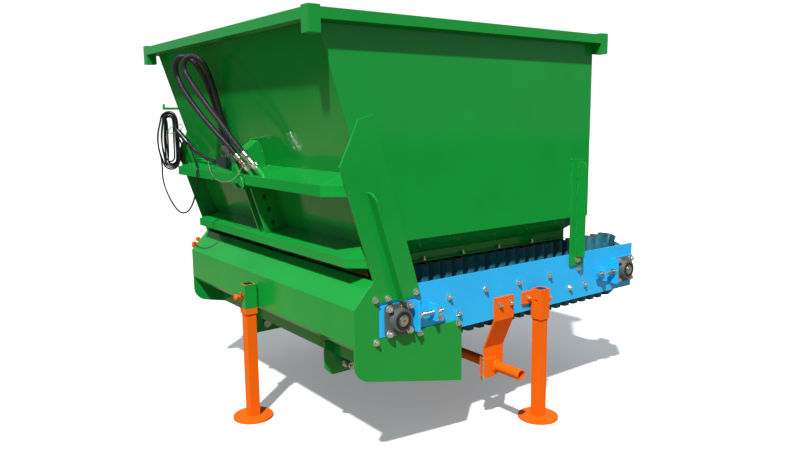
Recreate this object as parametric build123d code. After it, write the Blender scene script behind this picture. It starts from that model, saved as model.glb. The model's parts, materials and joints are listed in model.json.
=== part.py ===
from build123d import *
import math
import os

# Mounted belt spreader on three parking legs. Millimetres.
# +Z is up, the tractor stands on the -Y side, +X is the machine's left.
# Every Y below is counted from the middle of the hopper's rim; all parts are
# moved by ORIGIN_SHIFT_Y when they are written, so that Y = 0 is the middle
# of the machine's own box.

# ---------------------------------------------------------------- hopper
RIM_HALF_X = 870.0
RIM_HALF_Y = 823.0
RIM_TUBE = 50.0
RIM_TUBE_HIGH = 40.0
RIM_TOP = 1809.0
POST_PROUD = 7.0
POST_HIGH = 95.0
SHEET = 4.0
FRONT_SLOPE = 0.321          # metres back for each metre down
KNEE_Z = 940.0               # where the side walls turn in towards the belt
THROAT_INSET = 16.0          # from the belt's corrugated walls in to the skirts' inner faces
THROAT_TOP_Z = 845.0
FLANGE_LOW_Z = 806.0
SEAL = 6.0
SEAL_LOW_GAP = 6.0
SEAL_LAP = 36.0

# ---------------------------------------------------------------- conveyor
PLATE = 8.0
PLATE_LOW_Z = 524.0
PLATE_HIGH_Z = 755.0
FRONT_DRUM_INSET = 398.0     # from the rim's front to the front drum
REAR_DRUM_PROUD = 242.0      # from the rim's rear to the rear drum
PLATE_PAST_FRONT = 105.0
PLATE_PAST_REAR = 93.0
DRUM_Z = 629.5
DRUM_R = 84.0
DRUM_INSET = 35.0            # from the side plates' outer faces in to the drums' ends
DRUM_WALL = 8.0
DRUM_RECESS = 24.0
SHAFT_R = 20.0
SHAFT_PROUD = 56.0
BELT_GAP = 0.5
BELT = 9.0
BELT_INSET = 45.0
WALL_HIGH = 80.0
WALL_INSET = 104.0           # in to the outermost reach of the corrugated side walls
WALL_WAVE = 44.0
WALL_THICK = 4.5
WAVE_PITCH = 68.0
BED = 4.0
BED_GAP = 1.0
BED_INSET = 55.0
BED_OFF_DRUM = 30.0
MEMBER_WIDE = 50.0
MEMBER_WALL = 4.0
MEMBER_LOW_Z = 636.0
MEMBER_FIRST = 281.0         # behind the front drum
MEMBER_STEP = 214.0
MEMBER_COUNT = 5

# ---------------------------------------------------------------- bearings
FIT = 0.05                   # between a bore and what runs or sits in it
FLANGE_SIDE = 130.0
FLANGE_CORNER = 16.0
FLANGE = 15.0
BOSS_R = 46.0
BOSS = 26.0
CARRIER_LONG = 180.0
CARRIER_HIGH = 130.0
CARRIER = 8.0
EAR_OUT = 46.0
EAR = 10.0
FIXED_EAR_HALF_Z = 36.0
SCREW_R = 10.0
SCREW_PAST = 50.0
NUT_SHARE = 1.7
NUT = 16.0
FIXED_EAR_STEP = 84.0
SLOT_HIGH = 56.0
SLOT_LONG = 96.0

# ---------------------------------------------------------------- green side plates
SIDE = 10.0
SIDE_PAST_DRUM = 208.0       # from the front drum to the plates' front edge
SIDE_BEHIND_DRUM = 347.0
SIDE_CORNER_R = 80.0
SIDE_LOW_FRONT_Z = 412.0
SIDE_LOW_REAR_Z = 287.0
HOOD_FOLD_Z = 698.0
HOOD_TOP_BACK = 94.0
HOOD_TOP_Z = 800.0
HOOD_LOW_Z = 545.0
HOOD_LIP = 26.0
HOOD_LIP_TURN = 50.0
WINDOW_CLEAR = 3.0
WINDOW_LOW_Z = 562.0
WINDOW_HIGH_Z = 708.0
POST_AHEAD = 90.0
POST_BEHIND = 115.0
POST_SHOULDER_Z = 1249.0
POST_TOP_FRONT = (51.0, 1422.0)    # behind the wall's line, height
POST_TOP_REAR = (127.5, 1443.0)
RIB = 8.0
RIB_OUT = 45.0
RIB_TOP_Z = 1150.0
REAR_POST_INSET = 183.0
REAR_POST_WIDE = 94.0
REAR_POST_LOW_Z = 700.0
REAR_POST_TOP_Z = 1222.0
REAR_POST = 10.0

# ---------------------------------------------------------------- front beams and mast
BEAM_KINK_INSET = 78.0
BEAM_SHEET = 5.0
BEAM_RISE = 0.27
UPPER_REACH = 145.0          # ahead of the wall
UPPER_LOW_Z = 1136.0
UPPER_HIGH_Z = 1180.0        # top of the front edge
LOWER_REACH = 134.6
LOWER_LOW_Z = 848.0
LOWER_HIGH_Z = 888.0
MAST_GAP = 58.0
MAST = 12.0
MAST_WIDE = 117.0            # ahead of the wall
MAST_HOLE_R = 12.9
MAST_HOLE_AHEAD = 62.0
MAST_HOLES_Z = (1072.0, 1009.0, 946.0)
NOSE_PROUD = 3.0             # the plates' noses stand proud of the upper beam
NOSE_LOW = 24.0
NOSE_CHAMFER = 20.0
NOSE_TOP_Z = 1284.0
NOSE_R = 14.0
LID_AHEAD = 70.0
LID_FRONT_Z = 1283.0
LID_BACK_Z = 1326.0
LID = 8.0

# ---------------------------------------------------------------- lower hitch
HITCH_BEHIND_DRUM = 20.0
HITCH_Z = 326.0
HITCH_PLATE_X = 391.0
HITCH_PLATE = 12.0
HITCH_AHEAD = 107.0
HITCH_BEHIND = 125.0
HITCH_BELOW = 44.0
HITCH_NOSE = 35.0
HITCH_SHOULDER = (50.0, 34.0)
HITCH_CORNER_R = 14.0
HITCH_PIN_R = 14.0
HITCH_PIN = 70.0
HITCH_COLLAR_R = 22.0
HITCH_COLLAR = 9.0
HITCH_NUT_R = 24.0
HITCH_NUT = 20.0
HITCH_BEAM = 60.0
HITCH_BEAM_WALL = 5.0
HITCH_BEAM_Z = 383.0
HITCH_BEAM_AHEAD = 65.0
HITCH_BEAM_WIDE = 80.0

# ---------------------------------------------------------------- parking legs
LEG_TUBE = 50.0
LEG_WALL = 4.0
LEG_SLIDE_GAP = 1.0
SOCKET_WALL = 4.0
SOCKET_HIGH = 115.0
COLLAR_HIGH = 28.0
STOP_GAP = 0.5
FOOT_R = 95.0
FOOT = 10.0
FRONT_LEG_SPACER = 20.0
FRONT_SOCKET_TOP = 661.0
REAR_SOCKET_TOP = 633.0
REAR_LEG_INSET = 675.0       # ahead of the rear drum
REAR_BRACKET = 12.0
REAR_BRACKET_REACH = (85.0, 80.0)
REAR_BRACKET_Z = (563.0, 620.0)
LOCK_PIN_R = 8.0
LOCK_PIN_OUT = 16.0
LOCK_RING_R = 25.0
LOCK_RING_GAP = 2.0

# ---------------------------------------------------------------- cross tube under the belt
CROSS_R = 24.0
CROSS_WALL = 4.0
CROSS_PAST_PLATE = 120.0
CROSS_AHEAD_LEG = 205.0
CROSS_Z = 280.0
ARM = 10.0
ARM_WIDE = 120.0
ARM_TOP_Z = 621.0
ARM_KNEE_Z = 372.0
ARM_INSET = 55.0
ARM_LOW_Z = 236.0
CLAMP_R = 33.0
CLAMP_LONG = 48.0
CLAMP_EAR_HALF_Z = 44.0
CLAMP_EAR = 30.0
CLAMP_SPLIT = 8.0

# ---------------------------------------------------------------- rear gate
GATE_OPEN_INSET = 56.0
GATE_OPEN_TOP_Z = 905.0
GATE = 6.0
GATE_LAP = 30.0
GATE_CLEAR = 5.0
GATE_FOLD = 34.0
GATE_RISER_HALF_X = 25.0
GUIDE_TOP_Z = 1120.0
GUIDE = 6.0
GUIDE_BAR = 22.0
GRIP_R = 9.0
GRIP_HALF_X = 70.0
GRIP_ABOVE_GUIDE = 36.0

# ---------------------------------------------------------------- drive motor (right end of the front drum)
MOTOR_FLANGE = 120.0
MOTOR_R = 52.0
MOTOR_LONG = 96.0
MOTOR_HEAD_HALF_Y = 42.0
MOTOR_HEAD_ABOVE = 12.0

# ---------------------------------------------------------------- hydraulic block, couplers, cable
# Y and Z of these places are counted from the top of the upper beam's front edge. X is counted
# from the machine's middle for the hoses, and from the right side plate for the coiled cable.
BLOCK_X = (-345.0, -232.0)
BLOCK_WIDE = 50.0
BLOCK_HIGH = 64.0
ADAPTER_R = 15.0
COUPLER_LEAN = (0.594, 0.367, -0.716)    # the way the parked couplers point
COUPLER_NEAR = (60.0, -23.0, 91.0)       # where each hose goes into its coupler
COUPLER_FAR = (134.0, -24.0, 104.0)
# One coupler from the hose's end on: length, radius.
COUPLER_STEPS = ((26.0, 15.5), (30.0, 13.5), (12.0, 16.5), (30.0, 12.0))
REST_R = 16.0
REST_LONG = 48.0
HOSE_R = 12.5
HOSE_EXIT = 60.0             # how far a hose runs straight out of its coupler
SLEEVE_R = 9.5
CABLE_R = 4.5
WIRE_R = 2.0
CORD_SIDES = 12              # flats round a hose or cable
CONNECTOR_TOP = (113.7, -4.2, 189.4)
CONNECTOR_LEAN = (0.626, 0.335, -0.704)  # the way its lower end points
CONNECTOR_R = 15.0
CONNECTOR_LONG = 90.0
CONNECTOR_CABLE = 10.4       # from the connector's middle to the loose cable, downwards
CONNECTOR_SLEEVE = 5.4       # and to the sleeve, upwards
CABLE_EXIT = 44.0            # how far each runs straight out of the connector
SLEEVE_EXIT = 59.0
LEAD_EXIT = 28.0
PLUG_TOP = (15.5, 49.5, 80.0)
PLUG_R = 12.5
PLUG_LONG = 62.0
COIL_MIDDLE = (4.0, -10.0, 135.0)
COIL_TURN = 45.0             # the coil's plane, turned from the front view
COIL_HIGH = 335.0
COIL_WIDE = 120.0
COIL_BAND = 40.0
COIL_DEEP = 40.0
HOOK_R = 6.0
HOOK_ABOVE = 0.5
HOOK_PAST = 30.0
HOOK_TIP = 24.0

# Where the loose lines run after their exits, point by point.
HOSE_NEAR = (
    (-76.0, -68.0, 201.0), (-187.0, -96.0, 291.0), (-273.0, -130.0, 392.0), (-300.0, -154.0, 477.0),
    (-234.0, -156.0, 541.0), (-169.0, -112.0, 522.0), (-190.0, -59.0, 456.0), (-230.0, -1.0, 349.0),
    (-249.0, 41.0, 234.0), (-296.0, 76.0, 144.0), (-296.0, 76.0, 84.0))
HOSE_FAR = (
    (26.0, -76.0, 234.0), (-68.0, -110.0, 329.0), (-128.0, -134.0, 404.0), (-178.0, -162.0, 478.0),
    (-144.0, -148.0, 540.0), (-98.0, -96.0, 518.0), (-146.0, -40.0, 430.0), (-187.0, 2.0, 345.0),
    (-219.0, 43.0, 230.0), (-256.0, 76.0, 144.0), (-256.0, 76.0, 84.0))
FEED_SLEEVE = ((-560.0, 54.0, 70.0), (-490.0, 64.0, 46.0), (-420.0, 70.0, 37.0), (-345.0, 70.0, 37.0))
DUST_WIRE = (
    (-338.0, 51.0, 46.0), (-338.0, 24.0, 46.0), (-309.0, -2.0, 54.0), (-284.0, -15.0, 29.0),
    (-261.0, -18.0, 3.0), (-223.0, -18.0, -26.0), (-165.0, -18.0, -42.0), (-103.0, -18.0, -43.0),
    (-41.0, -18.0, -35.0), (15.0, -18.0, -18.0), (58.0, -18.0, 4.0), (78.0, -17.0, 21.0),
    (91.5, -10.3, 38.0))
CABLE_DROP = (
    (268.0, 10.0, 70.0), (383.0, -14.0, 21.0), (395.0, -21.0, -53.0), (366.0, -25.0, -142.0),
    (282.0, -29.0, -227.0), (152.0, -33.0, -248.0), (30.0, -39.0, -183.0), (-45.0, -48.0, -88.0),
    (-37.0, -47.0, 10.0))
CABLE_LEAD = ((74.0, -8.0, 228.0), (44.0, 14.0, 244.0))
PLUG_LEAD = ((15.5, 49.5, 108.0), (19.0, 42.0, 132.0), (28.0, 26.0, 148.0))


# ---------------------------------------------------------------- places that follow from the sizes
SPARE = 10.0                 # how far a blank reaches past what is cut from it
CUT_PAST = 1.0               # how far a cutter reaches past the face it opens
PLATE_X = RIM_HALF_X - RIM_TUBE          # outer face of the conveyor's side plates and hopper walls
DRUM_HALF_X = PLATE_X - DRUM_INSET
BELT_HALF_X = PLATE_X - BELT_INSET
BED_HALF_X = PLATE_X - BED_INSET
WALL_OUT_X = PLATE_X - WALL_INSET
THROAT_HALF_X = WALL_OUT_X - WALL_WAVE - THROAT_INSET
GATE_OPEN_HALF_X = THROAT_HALF_X - GATE_OPEN_INSET
BEAM_KINK_X = PLATE_X - BEAM_KINK_INSET
UPPER_BEAM = (UPPER_REACH, UPPER_LOW_Z, UPPER_HIGH_Z)
LOWER_BEAM = (LOWER_REACH, LOWER_LOW_Z, LOWER_HIGH_Z)
DRUM_FRONT_Y = -RIM_HALF_Y + FRONT_DRUM_INSET
DRUM_REAR_Y = RIM_HALF_Y + REAR_DRUM_PROUD
PLATE_FRONT_Y = DRUM_FRONT_Y - PLATE_PAST_FRONT
PLATE_REAR_Y = DRUM_REAR_Y + PLATE_PAST_REAR
POST_TOP = RIM_TOP + POST_PROUD
SHAFT_END_X = PLATE_X + SHAFT_PROUD
BELT_TOP_Z = DRUM_Z + DRUM_R + BELT_GAP + BELT
SEAL_LOW_Z = BELT_TOP_Z + SEAL_LOW_GAP
SIDE_FRONT_Y = DRUM_FRONT_Y - SIDE_PAST_DRUM
SIDE_REAR_Y = DRUM_FRONT_Y + SIDE_BEHIND_DRUM
HOOD_TOP_Y = SIDE_FRONT_Y + HOOD_TOP_BACK
WINDOW_FRONT_Y = DRUM_FRONT_Y - CARRIER_LONG / 2 - WINDOW_CLEAR
REAR_POST_Y = RIM_HALF_Y - REAR_POST_INSET
HITCH_Y = DRUM_FRONT_Y + HITCH_BEHIND_DRUM
REAR_LEG_Y = DRUM_REAR_Y - REAR_LEG_INSET
CROSS_Y = REAR_LEG_Y - CROSS_AHEAD_LEG
ORIGIN_SHIFT_Y = (RIM_HALF_Y - DRUM_REAR_Y - DRUM_R - BELT_GAP - BELT - WALL_HIGH) / 2


# ---------------------------------------------------------------- helpers
def block(x, y, z):
    """A box from its low and high corner along each axis."""
    size = Box(x[1] - x[0], y[1] - y[0], z[1] - z[0])
    return Pos((x[0] + x[1]) / 2, (y[0] + y[1]) / 2, (z[0] + z[1]) / 2) * size


def polygon(points):
    return make_face(Polyline(*points, close=True))


def rounded(points, corners):
    """A face from its points, with some corners rounded: (index of the point, radius)."""
    face = polygon(points)
    for index, radius in corners:
        place = Vector(*points[index])
        corner = min(face.vertices(), key=lambda v: (v.center() - place).length)
        face = fillet(corner, radius)
    return face


def along_x(outline, x):
    """Extrude a (Y, Z) outline, points or a face, from x[0] to x[1]."""
    face = polygon(outline) if isinstance(outline, (list, tuple)) else outline
    return extrude(Plane.YZ.offset(x[0]) * face, x[1] - x[0])


def along_y(face_points, y):
    """Extrude an (X, Z) outline from y[0] to y[1]."""
    plane = Plane(origin=(0, y[1], 0), x_dir=(1, 0, 0), z_dir=(0, -1, 0))
    return extrude(plane * polygon(face_points), y[1] - y[0])


def along_z(face_points, z):
    """Extrude an (X, Y) outline from z[0] to z[1]."""
    return extrude(Plane.XY.offset(z[0]) * polygon(face_points), z[1] - z[0])


def rod_x(radius, x, y, z):
    return Pos((x[0] + x[1]) / 2, y, z) * Rot(0, 90, 0) * Cylinder(radius, x[1] - x[0])


def rod_y(radius, x, y, z):
    return Pos(x, (y[0] + y[1]) / 2, z) * Rot(90, 0, 0) * Cylinder(radius, y[1] - y[0])


def rod_z(radius, x, y, z):
    return Pos(x, y, (z[0] + z[1]) / 2) * Cylinder(radius, z[1] - z[0])


def sheet_outline(points, thickness):
    """The closed outline of a bent sheet: the points, and the same points
    moved to the left of the way they run, with mitred corners."""
    moved = []
    for i, (x, y) in enumerate(points):
        normals = []
        for a, b in ((i - 1, i), (i, i + 1)):
            if a < 0 or b >= len(points):
                continue
            dx, dy = points[b][0] - points[a][0], points[b][1] - points[a][1]
            length = math.hypot(dx, dy)
            normals.append((-dy / length, dx / length))
        first, last = normals[0], normals[-1]
        share = thickness / (1 + first[0] * last[0] + first[1] * last[1])
        moved.append((x + (first[0] + last[0]) * share, y + (first[1] + last[1]) * share))
    return list(points) + moved[::-1]


def other_side(shape):
    """The same piece on the machine's right."""
    return mirror(shape, about=Plane.YZ)


def wall_y(z, depth=0.0):
    """Y at height z of the front wall's outer face, or of a face that deep behind it."""
    return -(RIM_HALF_Y - RIM_TUBE) + (RIM_TOP - z) * FRONT_SLOPE + depth * math.hypot(1, FRONT_SLOPE)


# ---------------------------------------------------------------- hopper pieces
REAR_WALL_Y = RIM_HALF_Y - RIM_TUBE


def rim_frame():
    outer = block((-RIM_HALF_X, RIM_HALF_X), (-RIM_HALF_Y, RIM_HALF_Y), (RIM_TOP - RIM_TUBE_HIGH, RIM_TOP))
    inside_x, inside_y = RIM_HALF_X - RIM_TUBE, RIM_HALF_Y - RIM_TUBE
    rim = outer - block((-inside_x, inside_x), (-inside_y, inside_y), (0, POST_TOP))
    for side in (-1, 1):
        for end in (-1, 1):
            corner = block((-RIM_TUBE / 2, RIM_TUBE / 2), (-RIM_TUBE / 2, RIM_TUBE / 2),
                           (POST_TOP - POST_HIGH, POST_TOP))
            rim += Pos(side * (RIM_HALF_X - RIM_TUBE / 2), end * (RIM_HALF_Y - RIM_TUBE / 2), 0) * corner
    return rim


def side_profile():
    """(X, Z) outline of the left wall: upright, turned in, then upright beside the belt."""
    return sheet_outline([(PLATE_X, RIM_TOP), (PLATE_X, KNEE_Z), (THROAT_HALF_X + SHEET, THROAT_TOP_Z),
                          (THROAT_HALF_X + SHEET, FLANGE_LOW_Z)], -SHEET)


def hopper_side():
    wall = along_y(side_profile(), (-RIM_HALF_Y, REAR_WALL_Y))
    reach = [(wall_y(RIM_TOP), RIM_TOP), (wall_y(FLANGE_LOW_Z), FLANGE_LOW_Z),
             (REAR_WALL_Y, FLANGE_LOW_Z), (REAR_WALL_Y, RIM_TOP)]
    return wall & along_x(reach, (0, PLATE_X))


def hopper_front():
    low_z = SEAL_LOW_Z + SEAL_LAP
    sheet = sheet_outline([(wall_y(low_z), low_z), (wall_y(RIM_TOP), RIM_TOP)], -SHEET)
    slab = along_x(sheet, (-PLATE_X, PLATE_X))
    return slab & along_y(inner_outline(low_z), (-2 * RIM_HALF_Y, RIM_HALF_Y))


def inner_outline(low_z):
    """(X, Z) outline of the space between the side walls' inner faces."""
    inner = sheet_outline([(PLATE_X, RIM_TOP), (PLATE_X, KNEE_Z), (THROAT_HALF_X + SHEET, THROAT_TOP_Z),
                           (THROAT_HALF_X + SHEET, low_z)], -SHEET)[4:]
    right = inner[::-1]
    return right + [(-x, z) for x, z in inner]


def hopper_rear():
    low_z = BELT_TOP_Z + SEAL_LOW_GAP
    wall = along_y(inner_outline(low_z), (REAR_WALL_Y - SHEET, REAR_WALL_Y))
    opening = block((-GATE_OPEN_HALF_X, GATE_OPEN_HALF_X), (0, RIM_HALF_Y), (0, GATE_OPEN_TOP_Z))
    return wall - opening


def seal_strips():
    """Rubber strips inside the side walls' flanges, just clear of the belt."""
    high = FLANGE_LOW_Z + SEAL_LAP
    rear = REAR_WALL_Y - SHEET
    front = SHEET + SEAL
    outline = [(wall_y(SEAL_LOW_Z, front), SEAL_LOW_Z), (wall_y(high, front), high), (rear, high), (rear, SEAL_LOW_Z)]
    left = along_x(outline, (THROAT_HALF_X - SEAL, THROAT_HALF_X))
    return left + other_side(left)


def front_seal():
    high = SEAL_LOW_Z + 2 * SEAL_LAP
    inner = [(wall_y(SEAL_LOW_Z, SHEET), SEAL_LOW_Z), (wall_y(high, SHEET), high)]
    return along_x(sheet_outline(inner, -SEAL), (-THROAT_HALF_X, THROAT_HALF_X))


# ---------------------------------------------------------------- front beams, mast
def beam_front(size):
    """Y of a beam's front face."""
    reach, low, high = size
    return wall_y(high) - reach


def shelf_meets(size, ahead):
    """(Y, Z) where a beam's sloping top meets the line that runs this far ahead of the wall."""
    line_at_zero = wall_y(0) - ahead
    z = (size[2] + BEAM_RISE * (line_at_zero - beam_front(size))) / (1 + BEAM_RISE * FRONT_SLOPE)
    return line_at_zero - FRONT_SLOPE * z, z


def beam_section(size, front_y, back_y):
    return [(front_y, size[1]), (back_y, size[1]), (back_y, size[2] + BEAM_RISE * (back_y - front_y)),
            (front_y, size[2])]


def beam_body(size):
    front_y = beam_front(size)
    body = along_x(beam_section(size, front_y, 0), (-PLATE_X, PLATE_X))
    for side in (-1, 1):
        turned = along_x(beam_section(size, 0, 4 * RIM_HALF_X), (-4 * RIM_HALF_X, 4 * RIM_HALF_X))
        body = body & (Pos(side * BEAM_KINK_X, front_y, 0) * Rot(0, 0, side * 45) * turned)
    return body


def beam(size):
    """A folded shelf beam along the front wall, its ends turned back to the side plates."""
    body = beam_body(size)
    shelf = body - Pos(0, BEAM_SHEET, -BEAM_SHEET) * body
    behind = [(wall_y(0), 0), (RIM_HALF_Y, 0), (RIM_HALF_Y, RIM_TOP), (wall_y(RIM_TOP), RIM_TOP)]
    return shelf - along_x(behind, (-RIM_HALF_X, RIM_HALF_X))


def mast_plates():
    """Two plates from the lower beam up, slotted for the upper beam, with a nose in front of it."""
    nose_y = beam_front(UPPER_BEAM) - NOSE_PROUD
    nose_low_z = UPPER_BEAM[1] - NOSE_LOW
    outline = [shelf_meets(LOWER_BEAM, MAST_WIDE), (wall_y(nose_low_z) - MAST_WIDE, nose_low_z),
               (nose_y + NOSE_CHAMFER, nose_low_z), (nose_y, nose_low_z + NOSE_CHAMFER),
               (nose_y, NOSE_TOP_Z), (wall_y(LID_FRONT_Z) - LID_AHEAD, LID_FRONT_Z),
               (wall_y(LID_BACK_Z), LID_BACK_Z), shelf_meets(LOWER_BEAM, 0)]
    left = along_x(rounded(outline, ((4, NOSE_R),)), (MAST_GAP / 2, MAST_GAP / 2 + MAST))
    for z in MAST_HOLES_Z:
        left -= rod_x(MAST_HOLE_R, (0, MAST_GAP), wall_y(z) - MAST_HOLE_AHEAD, z)
    left -= beam(UPPER_BEAM)
    return left + other_side(left)


def mast_lid():
    line = [(wall_y(LID_FRONT_Z) - LID_AHEAD, LID_FRONT_Z), (wall_y(LID_BACK_Z), LID_BACK_Z)]
    half = MAST_GAP / 2 + MAST
    return along_x(sheet_outline(line, LID), (-half, half))


# ---------------------------------------------------------------- green side plates, hood, posts
def side_outline():
    tops = [(wall_y(z) + behind, z) for behind, z in (POST_TOP_FRONT, POST_TOP_REAR)]
    return [(SIDE_FRONT_Y, SIDE_LOW_FRONT_Z), (SIDE_FRONT_Y, HOOD_FOLD_Z), (HOOD_TOP_Y, HOOD_TOP_Z),
            (wall_y(POST_SHOULDER_Z) - POST_AHEAD, POST_SHOULDER_Z), *tops,
            (wall_y(WINDOW_HIGH_Z) + POST_BEHIND, WINDOW_HIGH_Z), (WINDOW_FRONT_Y, WINDOW_HIGH_Z),
            (WINDOW_FRONT_Y, WINDOW_LOW_Z), (SIDE_REAR_Y, WINDOW_LOW_Z), (SIDE_REAR_Y, SIDE_LOW_REAR_Z)]


def side_plate():
    plate = along_x(rounded(side_outline(), ((0, SIDE_CORNER_R),)), (PLATE_X, PLATE_X + SIDE))
    rib_line = [(wall_y(WINDOW_HIGH_Z) + RIB / 2, WINDOW_HIGH_Z), (wall_y(RIB_TOP_Z) + RIB / 2, RIB_TOP_Z)]
    rib = along_x(sheet_outline(rib_line, RIB), (PLATE_X, PLATE_X + SIDE + RIB_OUT))
    top_edges = rib.edges().filter_by(lambda e: abs(e.center().X - PLATE_X - SIDE - RIB_OUT) < 1
                                      and e.center().Z > RIB_TOP_Z - 10)
    top_edge = [e for e in top_edges if e.length < RIB * 2]
    rib = fillet(top_edge, RIB_OUT * 0.8)
    return plate + rib


def rear_post():
    y = (REAR_POST_Y, REAR_POST_Y + REAR_POST_WIDE)
    flat = block((PLATE_X, PLATE_X + REAR_POST), y, (REAR_POST_LOW_Z, REAR_POST_TOP_Z))
    middle = REAR_POST_Y + REAR_POST_WIDE / 2
    z = (REAR_POST_LOW_Z + RIB_OUT, REAR_POST_TOP_Z - RIB)
    rib = block((PLATE_X, PLATE_X + REAR_POST + RIB_OUT), (middle - RIB / 2, middle + RIB / 2), z)
    outer = [e for e in rib.edges() if abs(e.center().X - PLATE_X - REAR_POST - RIB_OUT) < 1
             and e.center().Z > z[1] - 1]
    return flat + fillet(outer, RIB_OUT * 0.8)


def hood():
    turn = math.radians(HOOD_LIP_TURN)
    lip_y, lip_z = HOOD_LIP * math.cos(turn), HOOD_LIP * math.sin(turn)
    line = [(HOOD_TOP_Y, HOOD_TOP_Z), (SIDE_FRONT_Y, HOOD_FOLD_Z), (SIDE_FRONT_Y, HOOD_LOW_Z),
            (SIDE_FRONT_Y + lip_y, HOOD_LOW_Z - lip_z)]
    return along_x(sheet_outline(line, SHEET), (-PLATE_X, PLATE_X))


# ---------------------------------------------------------------- conveyor
def conveyor_side():
    outline = [(PLATE_FRONT_Y, PLATE_LOW_Z), (PLATE_REAR_Y, PLATE_LOW_Z), (PLATE_REAR_Y, PLATE_HIGH_Z),
               (PLATE_FRONT_Y, PLATE_HIGH_Z)]
    plate = along_x(outline, (PLATE_X - PLATE, PLATE_X))
    for y in (DRUM_FRONT_Y, DRUM_REAR_Y):
        slot = block((0, PLATE_X + CUT_PAST), (y - SLOT_LONG / 2, y + SLOT_LONG / 2),
                     (DRUM_Z - SLOT_HIGH / 2, DRUM_Z + SLOT_HIGH / 2))
        plate -= slot
    return plate


def drum(y, shaft_ends):
    body = rod_x(DRUM_R, (-DRUM_HALF_X, DRUM_HALF_X), y, DRUM_Z)
    inner, outer = DRUM_HALF_X - DRUM_RECESS, DRUM_HALF_X + CUT_PAST
    for x in ((-outer, -inner), (inner, outer)):
        body -= rod_x(DRUM_R - DRUM_WALL, x, y, DRUM_Z)
    return body + rod_x(SHAFT_R, shaft_ends, y, DRUM_Z)


def stadium(radius, x):
    """A solid as tall as both drums' circles of this radius, and the space between."""
    body = block(x, (DRUM_FRONT_Y, DRUM_REAR_Y), (DRUM_Z - radius, DRUM_Z + radius))
    for y in (DRUM_FRONT_Y, DRUM_REAR_Y):
        body += rod_x(radius, x, y, DRUM_Z)
    return body


# One wave of the corrugated wall: share of the pitch, share of the wave's depth.
WAVE = ((0.12, 0.0), (0.30, 1.0), (0.70, 1.0), (0.88, 0.0))


def wave_line(pitch, count, start):
    """Centre line of the wall in plan: (along the belt, across the belt)."""
    inner = WALL_OUT_X - WALL_WAVE + WALL_THICK / 2
    depth = WALL_WAVE - WALL_THICK
    line = [(start + (wave + share) * pitch, inner + depth * reach)
            for wave in range(count) for share, reach in WAVE]
    return [(start, inner), *line, (start + count * pitch, inner)]


def wall_straight():
    """The left wall's two straight runs."""
    run = DRUM_REAR_Y - DRUM_FRONT_Y
    count = round(run / WAVE_PITCH)
    line = sheet_outline(wave_line(run / count, count, DRUM_FRONT_Y), WALL_THICK)
    plan = [(across, along) for along, across in line]
    surface = DRUM_R + BELT_GAP + BELT
    top = along_z(plan, (DRUM_Z + surface - CUT_PAST, DRUM_Z + surface + WALL_HIGH))
    low = along_z(plan, (DRUM_Z - surface - WALL_HIGH, DRUM_Z - surface + CUT_PAST))
    return [top, low]


def wall_round(y, way):
    """The left wall's waves round a drum, opened out like a fan; way is -1 at the front."""
    surface = DRUM_R + BELT_GAP + BELT
    count = int(math.pi * surface / WAVE_PITCH)
    step = 180.0 / count
    half = math.tan(math.radians(step / 2))
    tip = surface + WALL_HIGH
    faces = []
    for distance in (surface - SPARE, tip + SPARE):
        line = sheet_outline(wave_line(2 * half * distance, 1, -half * distance), WALL_THICK)
        plan = [(across, along) for along, across in line]
        faces.append(Pos(0, 0, distance) * polygon(plan))
    lobe = loft(faces, ruled=True)
    x = (WALL_OUT_X - 2 * WALL_WAVE, WALL_OUT_X + WALL_WAVE)
    ring = rod_x(tip, x, 0, 0) - rod_x(surface - CUT_PAST, x, 0, 0)
    lobe = lobe & ring
    turns = [way * (index + 0.5) * step for index in range(count)]
    return [Pos(0, y, DRUM_Z) * Rot(-turn, 0, 0) * lobe for turn in turns]


def belt():
    surface = DRUM_R + BELT_GAP + BELT
    x = (-BELT_HALF_X, BELT_HALF_X)
    loop = stadium(surface, x) - stadium(DRUM_R + BELT_GAP, x)
    left = wall_straight() + wall_round(DRUM_FRONT_Y, -1) + wall_round(DRUM_REAR_Y, 1)
    return loop + left + [other_side(piece) for piece in left]


def belt_bed():
    top = DRUM_Z + DRUM_R + BELT_GAP - BED_GAP
    off = DRUM_R + BED_OFF_DRUM
    bed = block((-BED_HALF_X, BED_HALF_X), (DRUM_FRONT_Y + off, DRUM_REAR_Y - off), (top - BED, top))
    for index in range(MEMBER_COUNT):
        y = DRUM_FRONT_Y + MEMBER_FIRST + index * MEMBER_STEP
        half = MEMBER_WIDE / 2
        member = block((-PLATE_X + PLATE, PLATE_X - PLATE), (y - half, y + half), (MEMBER_LOW_Z, top - BED))
        inside = (y - half + MEMBER_WALL, y + half - MEMBER_WALL)
        member -= block((-PLATE_X, PLATE_X), inside, (MEMBER_LOW_Z - CUT_PAST, top - BED - MEMBER_WALL))
        bed += member
    return bed


# Bearing places: drum's Y, way of the take-up screw (-1 towards the front), side.
BEARINGS = tuple((y, way, side) for y, way in ((DRUM_FRONT_Y, 1), (DRUM_REAR_Y, -1)) for side in (1, -1)
                 if not (y == DRUM_FRONT_Y and side == -1))
CARRIERS = BEARINGS + ((DRUM_FRONT_Y, 1, -1),)


def bearing_unit():
    """A square four-bolt flange unit on the X axis, its back at X = 0."""
    half = FLANGE_SIDE / 2
    flange = block((0, FLANGE), (-half, half), (-half, half))
    flange = fillet([e for e in flange.edges() if abs(e.length - FLANGE) < 0.1], FLANGE_CORNER)
    unit = flange + rod_x(BOSS_R, (0, FLANGE + BOSS), 0, 0)
    return unit - rod_x(SHAFT_R + FIT, (-CUT_PAST, FLANGE + BOSS + CUT_PAST), 0, 0)


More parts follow.
